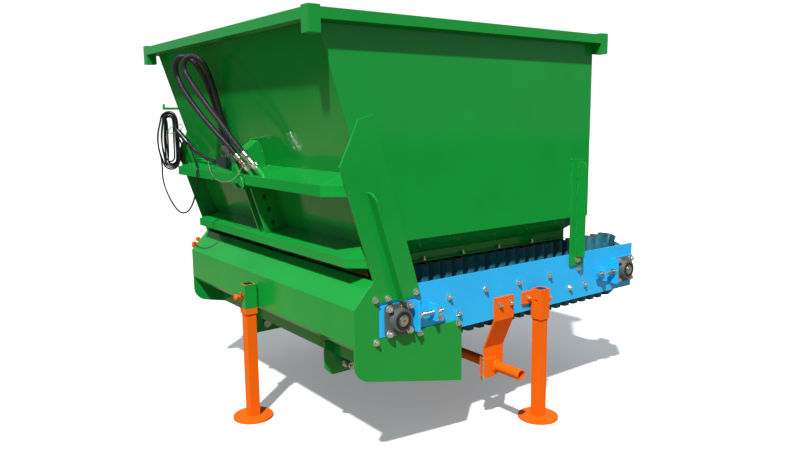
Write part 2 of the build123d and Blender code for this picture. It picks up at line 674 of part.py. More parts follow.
def carrier():
    """The sliding plate under a bearing, its end turned out to take the screw."""
    half_long, half_high = CARRIER_LONG / 2, CARRIER_HIGH / 2
    plate = block((0, CARRIER), (-half_long, half_long), (-half_high, half_high))
    slot = (-SLOT_HIGH / 2, SLOT_HIGH / 2)
    plate -= block((-CUT_PAST, CARRIER + CUT_PAST), slot, slot)
    ear = block((0, EAR_OUT), (half_long - EAR, half_long), (-half_high, half_high))
    return plate + ear


def take_up_screw():
    half_long = CARRIER_LONG / 2
    x = EAR_OUT / 2 + CARRIER / 2
    screw = rod_y(SCREW_R, x, (half_long, half_long + FIXED_EAR_STEP + SCREW_PAST), 0)
    for y in (half_long, half_long + FIXED_EAR_STEP + EAR):
        nut = Pos(x, y, 0) * Rot(-90, 0, 0) * extrude(RegularPolygon(SCREW_R * NUT_SHARE, 6), NUT)
        screw += nut
    return screw


def fixed_ear():
    """The ear on the side plate that the take-up screw pulls against."""
    start = CARRIER_LONG / 2 + FIXED_EAR_STEP
    x = EAR_OUT / 2 + CARRIER / 2
    ear = block((0, EAR_OUT), (start, start + EAR), (-FIXED_EAR_HALF_Z, FIXED_EAR_HALF_Z))
    return ear - rod_y(SCREW_R + FIT, x, (start - CUT_PAST, start + EAR + CUT_PAST), 0)


def placed(unit, places):
    """Copies of a unit, built for the left side with its screw towards +Y."""
    out = []
    for y, way, side in places:
        piece = unit if way > 0 else mirror(unit, about=Plane.XZ)
        piece = Pos(PLATE_X, y, DRUM_Z) * piece
        out.append(piece if side > 0 else other_side(piece))
    return Compound(children=out)


def drive_motor():
    x = -(PLATE_X + CARRIER)
    half = MOTOR_FLANGE / 2
    flange = block((x - FLANGE, x), (DRUM_FRONT_Y - half, DRUM_FRONT_Y + half), (DRUM_Z - half, DRUM_Z + half))
    flange = fillet([e for e in flange.edges() if abs(e.length - FLANGE) < 0.1], FLANGE_CORNER)
    body = rod_x(MOTOR_R, (x - FLANGE - MOTOR_LONG, x - FLANGE), DRUM_FRONT_Y, DRUM_Z)
    head_y = (DRUM_FRONT_Y - MOTOR_HEAD_HALF_Y, DRUM_FRONT_Y + MOTOR_HEAD_HALF_Y)
    head = block((x - FLANGE - MOTOR_LONG / 2, x - FLANGE), head_y, (DRUM_Z, DRUM_Z + MOTOR_R + MOTOR_HEAD_ABOVE))
    return flange + body + head


# ---------------------------------------------------------------- lower hitch
def hitch_beam_box(wall, half_x):
    """The square tube's outside (wall 0) or its hollow."""
    y = HITCH_Y - HITCH_BEAM_AHEAD
    return block((-half_x, half_x), (y + wall, y + HITCH_BEAM_WIDE - wall),
                 (HITCH_BEAM_Z + wall, HITCH_BEAM_Z + HITCH_BEAM - wall))


def hitch_beam():
    return hitch_beam_box(0, PLATE_X) - hitch_beam_box(HITCH_BEAM_WALL, PLATE_X)


def hitch_bracket():
    front, rear = HITCH_Y - HITCH_AHEAD, HITCH_Y + HITCH_BEHIND
    low, top = HITCH_Z - HITCH_BELOW, HITCH_BEAM_Z + HITCH_BEAM
    outline = [(front, low + HITCH_NOSE), (front, top), (rear - HITCH_SHOULDER[0], top),
               (rear, HITCH_Z + HITCH_SHOULDER[1]), (rear, low), (front + HITCH_NOSE, low)]
    plate = along_x(rounded(outline, ((4, HITCH_CORNER_R),)), (HITCH_PLATE_X, HITCH_PLATE_X + HITCH_PLATE))
    plate -= hitch_beam_box(0, PLATE_X)
    return plate - rod_x(HITCH_PIN_R + FIT, (0, PLATE_X), HITCH_Y, HITCH_Z)


def lower_link_pins():
    face = HITCH_PLATE_X + HITCH_PLATE
    inner = HITCH_PLATE_X - HITCH_NUT
    pin = rod_x(HITCH_PIN_R, (inner, face + HITCH_COLLAR + HITCH_PIN), HITCH_Y, HITCH_Z)
    pin += rod_x(HITCH_COLLAR_R, (face, face + HITCH_COLLAR), HITCH_Y, HITCH_Z)
    nut = Pos(inner, HITCH_Y, HITCH_Z) * Rot(0, 90, 0) * extrude(RegularPolygon(HITCH_NUT_R, 6), HITCH_NUT)
    pin += nut
    return pin + other_side(pin)


# ---------------------------------------------------------------- parking legs
SOCKET_HALF = LEG_TUBE / 2 + LEG_SLIDE_GAP + SOCKET_WALL
FRONT_LEG_Y = SIDE_FRONT_Y - FRONT_LEG_SPACER - SOCKET_HALF
REAR_LEG_X = PLATE_X + REAR_BRACKET + SOCKET_HALF
SPACER_HALF_X = 20.0


def socket(top):
    inner = LEG_TUBE / 2 + LEG_SLIDE_GAP
    z = (top - SOCKET_HIGH, top)
    body = block((-SOCKET_HALF, SOCKET_HALF), (-SOCKET_HALF, SOCKET_HALF), z)
    body -= block((-inner, inner), (-inner, inner), (z[0] - 1, z[1] + 1))
    return body - rod_y(LOCK_PIN_R, 0, (-SOCKET_HALF - 1, SOCKET_HALF + 1), top - SOCKET_HIGH / 2)


def leg_socket_front():
    spacer = block((-SPACER_HALF_X, SPACER_HALF_X), (FRONT_LEG_Y + SOCKET_HALF, SIDE_FRONT_Y),
                   (FRONT_SOCKET_TOP - SOCKET_HIGH, FRONT_SOCKET_TOP))
    return Pos(0, FRONT_LEG_Y, 0) * socket(FRONT_SOCKET_TOP) + spacer


def leg_socket_rear():
    y = (REAR_LEG_Y - REAR_BRACKET_REACH[0], REAR_LEG_Y + REAR_BRACKET_REACH[1])
    bar = block((PLATE_X, PLATE_X + REAR_BRACKET), y, REAR_BRACKET_Z)
    return Pos(REAR_LEG_X, REAR_LEG_Y, 0) * socket(REAR_SOCKET_TOP) + bar


def leg(top):
    """A square tube on a round foot, with the collar that stops it under its socket."""
    half, inner = LEG_TUBE / 2, LEG_TUBE / 2 - LEG_WALL
    tube = block((-half, half), (-half, half), (FOOT, top))
    tube -= block((-inner, inner), (-inner, inner), (FOOT, top - LEG_WALL))
    low = top - SOCKET_HIGH - STOP_GAP
    collar = block((-SOCKET_HALF, SOCKET_HALF), (-SOCKET_HALF, SOCKET_HALF), (low - COLLAR_HIGH, low))
    collar -= block((-inner, inner), (-inner, inner), (0, top))
    foot = rod_z(FOOT_R, 0, 0, (0, FOOT))
    return tube + collar + foot


def lock_pins():
    """Pins in the sockets' walls; their tips stop clear of the legs."""
    inner = LEG_TUBE / 2 + LEG_SLIDE_GAP
    out = []
    # place x, place y, socket's top, way the pin points out
    for x, y, top, way in ((0, FRONT_LEG_Y, FRONT_SOCKET_TOP, -1), (REAR_LEG_X, REAR_LEG_Y, REAR_SOCKET_TOP, 1),
                           (-REAR_LEG_X, REAR_LEG_Y, REAR_SOCKET_TOP, 1)):
        z = top - SOCKET_HIGH / 2
        ends = sorted((y + way * inner, y + way * (SOCKET_HALF + LOCK_PIN_OUT)))
        pin = rod_y(LOCK_PIN_R, x, ends, z)
        head_y = y + way * (SOCKET_HALF + LOCK_RING_GAP + LOCK_RING_R)
        ring_x = (x - LOCK_PIN_R / 2, x + LOCK_PIN_R / 2)
        ring = rod_x(LOCK_RING_R, ring_x, head_y, z - LOCK_PIN_R * 2) - rod_x(
            LOCK_RING_R - LOCK_PIN_R, ring_x, head_y, z - LOCK_PIN_R * 2)
        out.append(pin + ring)
    return Compound(children=out)


# ---------------------------------------------------------------- cross tube
def cross_tube():
    half = PLATE_X + CROSS_PAST_PLATE
    return rod_x(CROSS_R, (-half, half), CROSS_Y, CROSS_Z) - rod_x(
        CROSS_R - CROSS_WALL, (-half - SPARE, half + SPARE), CROSS_Y, CROSS_Z)


def tube_arm():
    """A strap from the conveyor's side down and inwards to the clamp on the cross tube."""
    inset_x = PLATE_X - ARM_INSET
    line = [(PLATE_X + ARM, ARM_TOP_Z), (PLATE_X + ARM, PLATE_LOW_Z - ARM), (inset_x, ARM_KNEE_Z),
            (inset_x, ARM_LOW_Z)]
    arm = along_y(sheet_outline(line, -ARM), (CROSS_Y - ARM_WIDE / 2, CROSS_Y + ARM_WIDE / 2))
    x = (inset_x - ARM / 2 - CLAMP_LONG / 2, inset_x - ARM / 2 + CLAMP_LONG / 2)
    ear_y = (CROSS_Y - CLAMP_R - CLAMP_EAR, CROSS_Y)
    arm += rod_x(CLAMP_R, x, CROSS_Y, CROSS_Z)
    arm += block(x, ear_y, (CROSS_Z - CLAMP_EAR_HALF_Z, CROSS_Z + CLAMP_EAR_HALF_Z))
    arm -= rod_x(CROSS_R + FIT, (0, PLATE_X), CROSS_Y, CROSS_Z)
    split_z = (CROSS_Z - CLAMP_SPLIT / 2, CROSS_Z + CLAMP_SPLIT / 2)
    return arm - block((0, inset_x - ARM), (ear_y[0] - SPARE, CROSS_Y), split_z)


# ---------------------------------------------------------------- rear gate
GATE_Y = REAR_WALL_Y + GATE_CLEAR
GATE_HALF_X = GATE_OPEN_HALF_X + GATE_LAP
GATE_LOW_Z = BELT_TOP_Z + 2 * SEAL_LOW_GAP
GATE_TOP_Z = GATE_OPEN_TOP_Z + GATE_LAP


def rear_gate():
    plate = block((-GATE_HALF_X, GATE_HALF_X), (GATE_Y, GATE_Y + GATE), (GATE_LOW_Z, GATE_TOP_Z))
    edge = block((-GATE_OPEN_HALF_X, GATE_OPEN_HALF_X), (GATE_Y, GATE_Y + GATE_FOLD), (GATE_TOP_Z - GATE, GATE_TOP_Z))
    grip_z = GUIDE_TOP_Z + GRIP_ABOVE_GUIDE
    riser = block((-GATE_RISER_HALF_X, GATE_RISER_HALF_X), (GATE_Y + GATE, GATE_Y + 2 * GATE),
                  (GATE_LOW_Z + GATE_LAP, grip_z))
    grip = rod_x(GRIP_R, (-GRIP_HALF_X, GRIP_HALF_X), GATE_Y + 2 * GATE, grip_z)
    return plate + edge + riser + grip


def gate_guides():
    inner_x = GATE_HALF_X + GATE_CLEAR
    outer_x = THROAT_HALF_X
    face_y = GATE_Y + GATE + GATE_CLEAR
    spacer = block((inner_x, outer_x), (REAR_WALL_Y, face_y), (GATE_LOW_Z, GUIDE_TOP_Z))
    cover = block((GATE_HALF_X - GUIDE_BAR + GATE_CLEAR, outer_x), (face_y, face_y + GUIDE), (GATE_LOW_Z, GUIDE_TOP_Z))
    left = spacer + cover
    return left + other_side(left)


# ---------------------------------------------------------------- hydraulic block, couplers
def under_shelf(size):
    """All that lies under a beam's sloping top."""
    return along_x(beam_section((size[0], 0, size[2]), beam_front(size), 0), (-PLATE_X, PLATE_X))


def hung(points, x=0.0):
    """Points given from the upper beam's front edge, in the rim's frame; x is where their X counts from."""
    front_y = beam_front(UPPER_BEAM)
    return [(x + point[0], front_y + point[1], UPPER_HIGH_Z + point[2]) for point in points]


def beside(points):
    """Points given from the right side plate and the upper beam's front edge."""
    return hung(points, -PLATE_X)


def hose_block():
    """The junction block on the upper beam, with an upright adapter under each hose's end."""
    ends = hung((HOSE_NEAR[-1], HOSE_FAR[-1]))
    y, top = ends[0][1], UPPER_HIGH_Z + BLOCK_HIGH
    body = block(BLOCK_X, (y - BLOCK_WIDE / 2, y + BLOCK_WIDE / 2), (UPPER_LOW_Z, top))
    body -= under_shelf(UPPER_BEAM)
    for x, y, z in ends:
        body += rod_z(ADAPTER_R, x, y, (top, z))
    return body


def stepped(top, lean, steps):
    """Round steps one after another, from a point on along a lean: (length, radius)."""
    body, z = None, 0.0
    for length, radius in steps:
        step = rod_z(radius, 0, 0, (z, z + length))
        body = step if body is None else body + step
        z += length
    return Plane(origin=top, z_dir=lean) * body


def ahead(top, lean, distance, across=None, offset=0.0):
    """The point so far along a lean from another point, moved aside along a second direction."""
    place = Vector(*top) + Vector(*lean).normalized() * distance
    if across is not None:
        place += across * offset
    return (place.X, place.Y, place.Z)


def quick_couplers():
    tops = hung((COUPLER_NEAR, COUPLER_FAR))
    return Compound(children=[stepped(top, COUPLER_LEAN, COUPLER_STEPS) for top in tops])


def coupler_rests():
    """Stubs on the upper beam that the parked couplers point into."""
    start = sum(length for length, radius in COUPLER_STEPS)
    stubs = [stepped(ahead(top, COUPLER_LEAN, start), COUPLER_LEAN, ((REST_LONG, REST_R),))
             for top in hung((COUPLER_NEAR, COUPLER_FAR))]
    return Compound(children=[stub - under_shelf(UPPER_BEAM) for stub in stubs])


# ---------------------------------------------------------------- hoses and cable
def corner_radii(points):
    """One radius for each corner of a route, as large as its two runs allow."""
    radii = []
    for before, corner, after in zip(points, points[1:], points[2:]):
        first, second = Vector(*corner) - Vector(*before), Vector(*after) - Vector(*corner)
        turn = math.radians(first.get_angle(second))
        radii.append(0.45 * min(first.length, second.length) / math.tan(turn / 2))
    return radii


def line_tube(name, radius, points):
    """A tube along straight runs joined by arcs; prints its bends in diameters and its volume's share."""
    radii = corner_radii(points)
    path = FilletPolyline(*points, radius=radii)
    lean = Vector(*points[1]) - Vector(*points[0])
    section = Plane(origin=points[0], z_dir=lean) * RegularPolygon(radius, CORD_SIDES)
    tube = sweep(section, path=path)
    print(name, "length", round(path.length), "bends", [round(r / radius / 2, 1) for r in radii],
          "volume share", round(tube.volume / (section.area * path.length), 3))
    return tube


def connector_exit(offset, distance):
    """A point on the connector's lower face, and one that far straight ahead of it."""
    lean = Vector(*CONNECTOR_LEAN).normalized()
    down = Vector(0, 0, -1) - lean * Vector(0, 0, -1).dot(lean)
    top = beside([CONNECTOR_TOP])[0]
    return [ahead(top, CONNECTOR_LEAN, reach, down.normalized(), offset)
            for reach in (CONNECTOR_LONG, CONNECTOR_LONG + distance)]


def routes():
    """Each loose line's radius and its points from end to end."""
    near, far = hung((COUPLER_NEAR, COUPLER_FAR))
    connector, plug = beside((CONNECTOR_TOP, PLUG_TOP))
    near_exit = ahead(near, COUPLER_LEAN, -HOSE_EXIT)
    far_exit = ahead(far, COUPLER_LEAN, -HOSE_EXIT)
    lead_exit = ahead(connector, CONNECTOR_LEAN, -LEAD_EXIT)
    return {
        "hose_near": (HOSE_R, (near, near_exit, *hung(HOSE_NEAR))),
        "hose_far": (HOSE_R, (far, far_exit, *hung(HOSE_FAR))),
        "cable_drop": (CABLE_R, (*connector_exit(CONNECTOR_CABLE, CABLE_EXIT), *beside(CABLE_DROP))),
        "cable_lead": (CABLE_R, (connector, lead_exit, *beside(CABLE_LEAD))),
        "plug_lead": (CABLE_R, (plug, *beside(PLUG_LEAD))),
        "feed_sleeve": (SLEEVE_R, (*connector_exit(-CONNECTOR_SLEEVE, SLEEVE_EXIT), *hung(FEED_SLEEVE))),
        "dust_wire": (WIRE_R, hung(DUST_WIRE)),
    }


def upright_ring(wide, high, deep):
    """A flat-sided oval standing in the XZ plane, on its middle."""
    straight = high - wide
    body = block((-wide / 2, wide / 2), (-deep / 2, deep / 2), (-straight / 2, straight / 2))
    for end in (-1, 1):
        body += rod_y(wide / 2, 0, (-deep / 2, deep / 2), end * straight / 2)
    return body


def cable_coil():
    opening = upright_ring(COIL_WIDE - 2 * COIL_BAND, COIL_HIGH - 2 * COIL_BAND, COIL_DEEP + SPARE)
    ring = upright_ring(COIL_WIDE, COIL_HIGH, COIL_DEEP) - opening
    return Pos(*beside([COIL_MIDDLE])[0]) * Rot(0, 0, COIL_TURN) * ring


def cable_hook():
    """A rod out of the front wall over the coil's top, its tip turned up."""
    x, y, z = beside([COIL_MIDDLE])[0]
    height = z + COIL_HIGH / 2 + HOOK_ABOVE + HOOK_R
    tip_y = y - HOOK_PAST
    hook = rod_y(HOOK_R, x, (tip_y, wall_y(height - HOOK_R)), height)
    hook += rod_z(HOOK_R, x, tip_y + HOOK_R, (height - HOOK_R, height + HOOK_TIP))
    behind = [(wall_y(0), 0), (RIM_HALF_Y, 0), (RIM_HALF_Y, RIM_TOP), (wall_y(RIM_TOP), RIM_TOP)]
    return hook - along_x(behind, (-RIM_HALF_X, RIM_HALF_X))


# ---------------------------------------------------------------- all pieces, by node
def pieces():
    left_and_right = {
        "hopper_side": hopper_side, "side_plate": side_plate, "rear_post": rear_post,
        "conveyor_side": conveyor_side, "hitch_bracket": hitch_bracket, "tube_arm": tube_arm,
        "leg_socket_rear": leg_socket_rear,
    }
    single = {
        "rim_frame": rim_frame(),
        "hopper_front": hopper_front(),
        "hopper_rear": hopper_rear(),
        "seal_strips": seal_strips(),
        "front_seal": front_seal(),
        "upper_beam": beam(UPPER_BEAM),
        "lower_beam": beam(LOWER_BEAM),
        "mast_plates": mast_plates(),
        "mast_lid": mast_lid(),
        "hood": hood(),
        "belt": belt(),
        "front_drum": drum(DRUM_FRONT_Y, (-PLATE_X - CARRIER, SHAFT_END_X)),
        "rear_drum": drum(DRUM_REAR_Y, (-SHAFT_END_X, SHAFT_END_X)),
        "belt_bed": belt_bed(),
        "bearings": placed(Pos(CARRIER, 0, 0) * bearing_unit(), BEARINGS),
        "bearing_carriers": placed(carrier(), CARRIERS),
        "take_up_screws": placed(take_up_screw(), CARRIERS),
        "take_up_ears": placed(fixed_ear(), CARRIERS),
        "drive_motor": drive_motor(),
        "hitch_beam": hitch_beam(),
        "lower_link_pins": lower_link_pins(),
        "leg_socket_front": leg_socket_front(),
        "leg_front": Pos(0, FRONT_LEG_Y, 0) * leg(FRONT_SOCKET_TOP),
        "leg_rear_left": Pos(REAR_LEG_X, REAR_LEG_Y, 0) * leg(REAR_SOCKET_TOP),
        "leg_rear_right": Pos(-REAR_LEG_X, REAR_LEG_Y, 0) * leg(REAR_SOCKET_TOP),
        "lock_pins": lock_pins(),
        "cross_tube": cross_tube(),
        "rear_gate": rear_gate(),
        "gate_guides": gate_guides(),
        "hose_block": hose_block(),
        "coupler_rests": coupler_rests(),
        "quick_couplers": quick_couplers(),
        "cable_coil": cable_coil(),
        "cable_hook": cable_hook(),
        "cable_connector": stepped(beside([CONNECTOR_TOP])[0], CONNECTOR_LEAN, ((CONNECTOR_LONG, CONNECTOR_R),)),
        "cable_plug": stepped(beside([PLUG_TOP])[0], (0, 0, -1), ((PLUG_LONG, PLUG_R),)),
        **{name: line_tube(name, radius, points) for name, (radius, points) in routes().items()},
    }
    for name, make in left_and_right.items():
        single[name + "_left"] = make()
        single[name + "_right"] = other_side(single[name + "_left"])
    return single


def main():
    os.makedirs("parts", exist_ok=True)
    for name, shape in pieces().items():
        export_step(Pos(0, ORIGIN_SHIFT_Y, 0) * shape, "parts/" + name + ".step")


if __name__ == "__main__":
    main()
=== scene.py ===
import json
import math

import bmesh
import bpy
from mathutils import Euler, Matrix, Vector


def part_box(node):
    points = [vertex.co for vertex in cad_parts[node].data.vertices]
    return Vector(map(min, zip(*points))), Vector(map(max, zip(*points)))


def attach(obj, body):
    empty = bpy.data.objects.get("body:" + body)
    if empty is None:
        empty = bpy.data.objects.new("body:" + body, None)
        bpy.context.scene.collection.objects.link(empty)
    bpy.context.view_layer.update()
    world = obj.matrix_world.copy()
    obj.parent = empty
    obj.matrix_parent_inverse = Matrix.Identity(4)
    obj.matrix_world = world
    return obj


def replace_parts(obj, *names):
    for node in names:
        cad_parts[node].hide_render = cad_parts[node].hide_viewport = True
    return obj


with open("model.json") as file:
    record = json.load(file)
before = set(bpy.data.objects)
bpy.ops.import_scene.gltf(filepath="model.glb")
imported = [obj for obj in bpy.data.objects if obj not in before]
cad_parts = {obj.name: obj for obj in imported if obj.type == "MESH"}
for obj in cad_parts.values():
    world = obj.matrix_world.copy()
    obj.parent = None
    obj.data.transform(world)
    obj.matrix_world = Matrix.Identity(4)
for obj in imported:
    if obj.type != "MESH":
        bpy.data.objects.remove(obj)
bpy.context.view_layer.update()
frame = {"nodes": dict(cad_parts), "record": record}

bl_info = {
    "name": "Belt Spreader Finish",
    "version": (1, 0, 0),
    "blender": (4, 5, 0),
    "location": "3D View > Sidebar > Spreader",
    "description": "Paint, rubber, fasteners, hoses and studio for the mounted belt spreader",
    "category": "Object",
}

MM = 0.001
UP = Vector((0, 0, 1))

# -------- places taken from the frame
def middle(node, axis):
    """The middle of a node's box along one axis."""
    low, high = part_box(node)
    return (low[axis] + high[axis]) / 2


PLATE_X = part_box("conveyor_side_left")[1][0]
SIDE_X = PLATE_X + 10 * MM                      # outer face of the green side plates
DRUM_Z = middle("front_drum", 2)
FRONT_DRUM_Y = middle("front_drum", 1)
REAR_DRUM_Y = middle("rear_drum", 1)
THROAT_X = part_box("seal_strips")[1][0]          # where the lower skirts stand
BEAM_FACE = 44 * MM                             # height of the upper beam's front face
BEAM_EDGE = Vector((0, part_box("upper_beam")[0][1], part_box("upper_beam")[0][2] + BEAM_FACE))
WALL_SLOPE = 0.321                              # the front wall's run for each metre of rise
SHAFT_END_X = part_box("front_drum")[1][0]
BEARING_FACE_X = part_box("bearings")[1][0]


def wall_y(z):
    """The front wall's outer face at a height."""
    low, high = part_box("hopper_front")
    return low[1] + (high[2] - z) * WALL_SLOPE


# -------- settings a user would change
def colour(name, description, default):
    return bpy.props.FloatVectorProperty(name=name, description=description, subtype="COLOR", size=3,
                                         min=0, max=1, default=default)


def length(name, description, default):
    return bpy.props.FloatProperty(name=name, description=description, subtype="DISTANCE",
                                   unit="LENGTH", min=0, default=default)


def angle(name, description, degrees):
    return bpy.props.FloatProperty(name=name, description=description, subtype="ANGLE",
                                   default=math.radians(degrees))


def strength(name, description, default):
    return bpy.props.FloatProperty(name=name, description=description, min=0, default=default)


class SpreaderPaint(bpy.types.PropertyGroup):
    """Colours of the painted and rubber parts."""
    green: colour("Body green", "Gloss paint of hopper, beams and side plates", (0.007, 0.310, 0.040))
    blue: colour("Conveyor blue", "Gloss paint of the conveyor's frame", (0.022, 0.500, 1.000))
    orange: colour("Leg orange", "Gloss paint of legs, arms and cross tube", (0.920, 0.140, 0.003))
    belt: colour("Belt blue", "Rubber of the belt and its corrugated walls", (0.010, 0.100, 0.150))
    edge: length("Edge rounding", "How round the cut edges of the sheets look", 1.5 * MM)


class SpreaderHardware(bpy.types.PropertyGroup):
    """Sizes of the fasteners and welds."""
    washer: length("Washer", "Radius of the plate washers", 14 * MM)
    nut: length("Nut", "Radius over the corners of the nuts", 12 * MM)
    stud: length("Stud", "Radius of the bolts' threaded ends", 6 * MM)
    bead: length("Weld bead", "Width of a weld, halved", 4 * MM)


class SpreaderStage(bpy.types.PropertyGroup):
    """Camera and lights of the studio."""
    lens: bpy.props.FloatProperty(
        name="Lens", description="Focal length on a 36 mm wide sensor", unit="CAMERA", default=31.63)
    azimuth: angle("Azimuth", "Where the camera stands, from the front towards the machine's left", 52.71)
    elevation: angle("Elevation", "How far the camera looks down", 8.67)
    roll: angle("Roll", "Tilt of the horizon", -0.54)
    place: bpy.props.FloatVectorProperty(
        name="Camera place", description="Camera's place in the machine's own frame",
        subtype="TRANSLATION", unit="LENGTH", size=3, default=(3.0152, -2.28045, 1.4277))
    sun_from: bpy.props.FloatVectorProperty(
        name="Sun from", description="Direction of the key light, from the machine",
        subtype="DIRECTION", size=3, default=(0.404, -0.471, 0.784))
    sun: strength("Sun", "Strength of the key light", 4.5)
    sky: strength("Sky", "Strength of the surrounding light", 0.36)


# -------- modelling tools
def only(*pieces):
    """Select these pieces and nothing else."""
    bpy.ops.object.select_all(action="DESELECT")
    for piece in pieces:
        piece.select_set(True)
    bpy.context.view_layer.objects.active = pieces[0]


def start(name, kind, **size):
    """Add a primitive at its size and place, alone in the selection."""
    bpy.ops.object.select_all(action="DESELECT")
    getattr(bpy.ops.mesh, f"primitive_{kind}_add")(**size)
    piece = bpy.context.object
    piece.name = piece.data.name = name
    return piece


def mark(piece, faces=None, edges=None):
    """In edit mode, select the faces or edges whose middle and direction pass a test."""
    bpy.ops.mesh.select_all(action="DESELECT")
    mesh = bmesh.from_edit_mesh(piece.data)
    mesh.normal_update()
    if faces:
        bpy.ops.mesh.select_mode(type="FACE")
        for face in mesh.faces:
            face.select_set(bool(faces(face.calc_center_median(), face.normal)))
    if edges:
        bpy.ops.mesh.select_mode(type="EDGE")
        for edge in mesh.edges:
            ends = edge.verts[0].co, edge.verts[1].co
            edge.select_set(bool(edges((ends[0] + ends[1]) / 2, (ends[1] - ends[0]).normalized())))
    bmesh.update_edit_mesh(piece.data)


def settle(piece, smooth=35):
    """Leave edit mode, put the place into the mesh and shade it."""
    if piece.mode == "EDIT":
        bpy.ops.mesh.select_all(action="SELECT")
        bpy.ops.mesh.normals_make_consistent(inside=False)
        bpy.ops.object.mode_set(mode="OBJECT")
    only(piece)
    bpy.ops.object.transform_apply(location=True, rotation=True, scale=True)
    bpy.ops.object.shade_smooth_by_angle(angle=math.radians(smooth))
    return piece


def block(name, size, place=(0, 0, 0)):
    """A cuboid of a size at a place, left in edit mode."""
    piece = start(name, "cube", size=1, location=place, scale=size)
    bpy.ops.object.transform_apply(location=True, rotation=True, scale=True)
    bpy.ops.object.mode_set(mode="EDIT")
    return piece


def turned(name, steps, sides):
    """A piece turned on its Z axis, from its steps in millimetres: (height, radius)."""
    (height, radius), rest = steps[0], steps[1:]
    piece = start(name, "circle", vertices=sides, radius=radius * MM, fill_type="NGON",
                  location=(0, 0, height * MM))
    bpy.ops.object.mode_set(mode="EDIT")
    bpy.ops.mesh.select_all(action="SELECT")
    for z, r in rest:
        bpy.ops.mesh.extrude_region_move(TRANSFORM_OT_translate={"value": (0, 0, (z - height) * MM)})
        share = r / radius
        bpy.ops.transform.resize(value=(share, share, 1), center_override=(0, 0, z * MM))
        height, radius = z, r
    return settle(piece)


def stand(piece, place, smooth=35):
    """Move a finished piece by a matrix, into its mesh."""
    piece.matrix_world = place
    return settle(piece, smooth)


def join(name, *pieces):
    """Make several pieces one, with its place in its mesh."""
    only(*pieces)
    if len(pieces) > 1:
        bpy.ops.object.join()
    piece = bpy.context.object
    bpy.ops.object.transform_apply(location=True, rotation=True, scale=True)
    piece.name = piece.data.name = name
    return piece


def set_out(name, pattern, places):
    """Copy a finished pattern to each place and make one piece of the copies."""
    copies = []
    for place in places:
        only(pattern)
        bpy.ops.object.duplicate()
        copy = bpy.context.object
        copy.matrix_world = place
        copies.append(copy)
    return join(name, *copies)


def drop(*patterns):
    """Take away the patterns that were only copied from."""
    for pattern in patterns:
        bpy.data.meshes.remove(pattern.data)


def facing(place, way, turn=0.0, size=1.0):
    """A matrix that stands a Z-up pattern on a place, pointing a way, turned about its own axis."""
    aim = Vector(way).to_track_quat("Z", "Y").to_matrix().to_4x4()
    return Matrix.Translation(place) @ aim @ Matrix.Rotation(turn, 4, "Z") @ Matrix.Scale(size, 4)


def fit(piece, slot, material=None, body="frame"):
    """Give a finished piece its body and its material, which is named as the slot unless told."""
    piece.data.materials.clear()
    piece.data.materials.append(bpy.data.materials[material or slot])
    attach(piece, body)
    return piece


# -------- materials
SURFACE = {"Colour": "Color", "Roughness": "Float", "Height": "Float"}      # what a shared finish gives
GREY = (0.5, 0.5, 0.5, 1.0)
ORIGIN = (0.0, 0.0, 0.0)


def feed(target, value):
    """Give a socket its value or its source."""
    if isinstance(value, bpy.types.NodeSocket):
        target.id_data.links.new(value, target)
    else:
        target.default_value = value


def put(node, **values):
    """Feed a node's inputs by name; an underline stands for a space."""
    for label, value in values.items():
        feed(node.inputs[label.replace("_", " ")], value)
    return node


def add_node(tree, kind, **values):
    """A node with its own settings and its inputs fed."""
    node = tree.nodes.new(kind)
    for label in [label for label in values if hasattr(node, label)]:
        setattr(node, label, values.pop(label))
    return put(node, **values)


def group(name, takes, gives):
    """An empty node group with its named inputs (name: value) and outputs (name: kind)."""
    tree = bpy.data.node_groups.new(name, "ShaderNodeTree")
    for label, value in takes.items():
        kind = {4: "Color", 3: "Vector", 0: "Float"}[len(value) if isinstance(value, tuple) else 0]
        socket = tree.interface.new_socket(name=label, in_out="INPUT", socket_type="NodeSocket" + kind)
        socket.default_value = value
    for label, kind in gives.items():
        tree.interface.new_socket(name=label, in_out="OUTPUT", socket_type="NodeSocket" + kind)
    return tree, tree.nodes.new("NodeGroupInput").outputs, tree.nodes.new("NodeGroupOutput")


def use(tree, name, **values):
    """Place a shared group with its own values."""
    return add_node(tree, "ShaderNodeGroup", node_tree=bpy.data.node_groups[name], **values).outputs


def noise(tree, vector, scale, detail, roughness=0.5):
    """Cloudy noise from 0 to 1."""
    return add_node(tree, "ShaderNodeTexNoise", Vector=vector, Scale=scale, Detail=detail,
                    Roughness=roughness).outputs["Fac"]


def between(tree, value, low, high, to_low=0.0, to_high=1.0):
    """Map one range of a value to another, clamped."""
    return add_node(tree, "ShaderNodeMapRange", Value=value, From_Min=low, From_Max=high, To_Min=to_low,
                    To_Max=to_high).outputs["Result"]


def reckon(tree, work, first, second):
    """One step of arithmetic."""
    node = add_node(tree, "ShaderNodeMath", operation=work)
    feed(node.inputs[0], first)
    feed(node.inputs[1], second)
    return node.outputs["Value"]


def blend(tree, share, first, second):
    """Mix two colours by a share."""
    node = add_node(tree, "ShaderNodeMix", data_type="RGBA")
    for label, kind, value in (("Factor", "VALUE", share), ("A", "RGBA", first), ("B", "RGBA", second)):
        feed(next(socket for socket in node.inputs if (socket.name, socket.type) == (label, kind)), value)
    return next(socket for socket in node.outputs if socket.type == "RGBA")


def tint(tree, colour, drift, shade):
    """A colour made darker and lighter by a drift from -1 to 1."""
    value = reckon(tree, "ADD", reckon(tree, "MULTIPLY", drift, shade), 1.0)
    return add_node(tree, "ShaderNodeHueSaturation", Value=value, Color=colour).outputs["Color"]


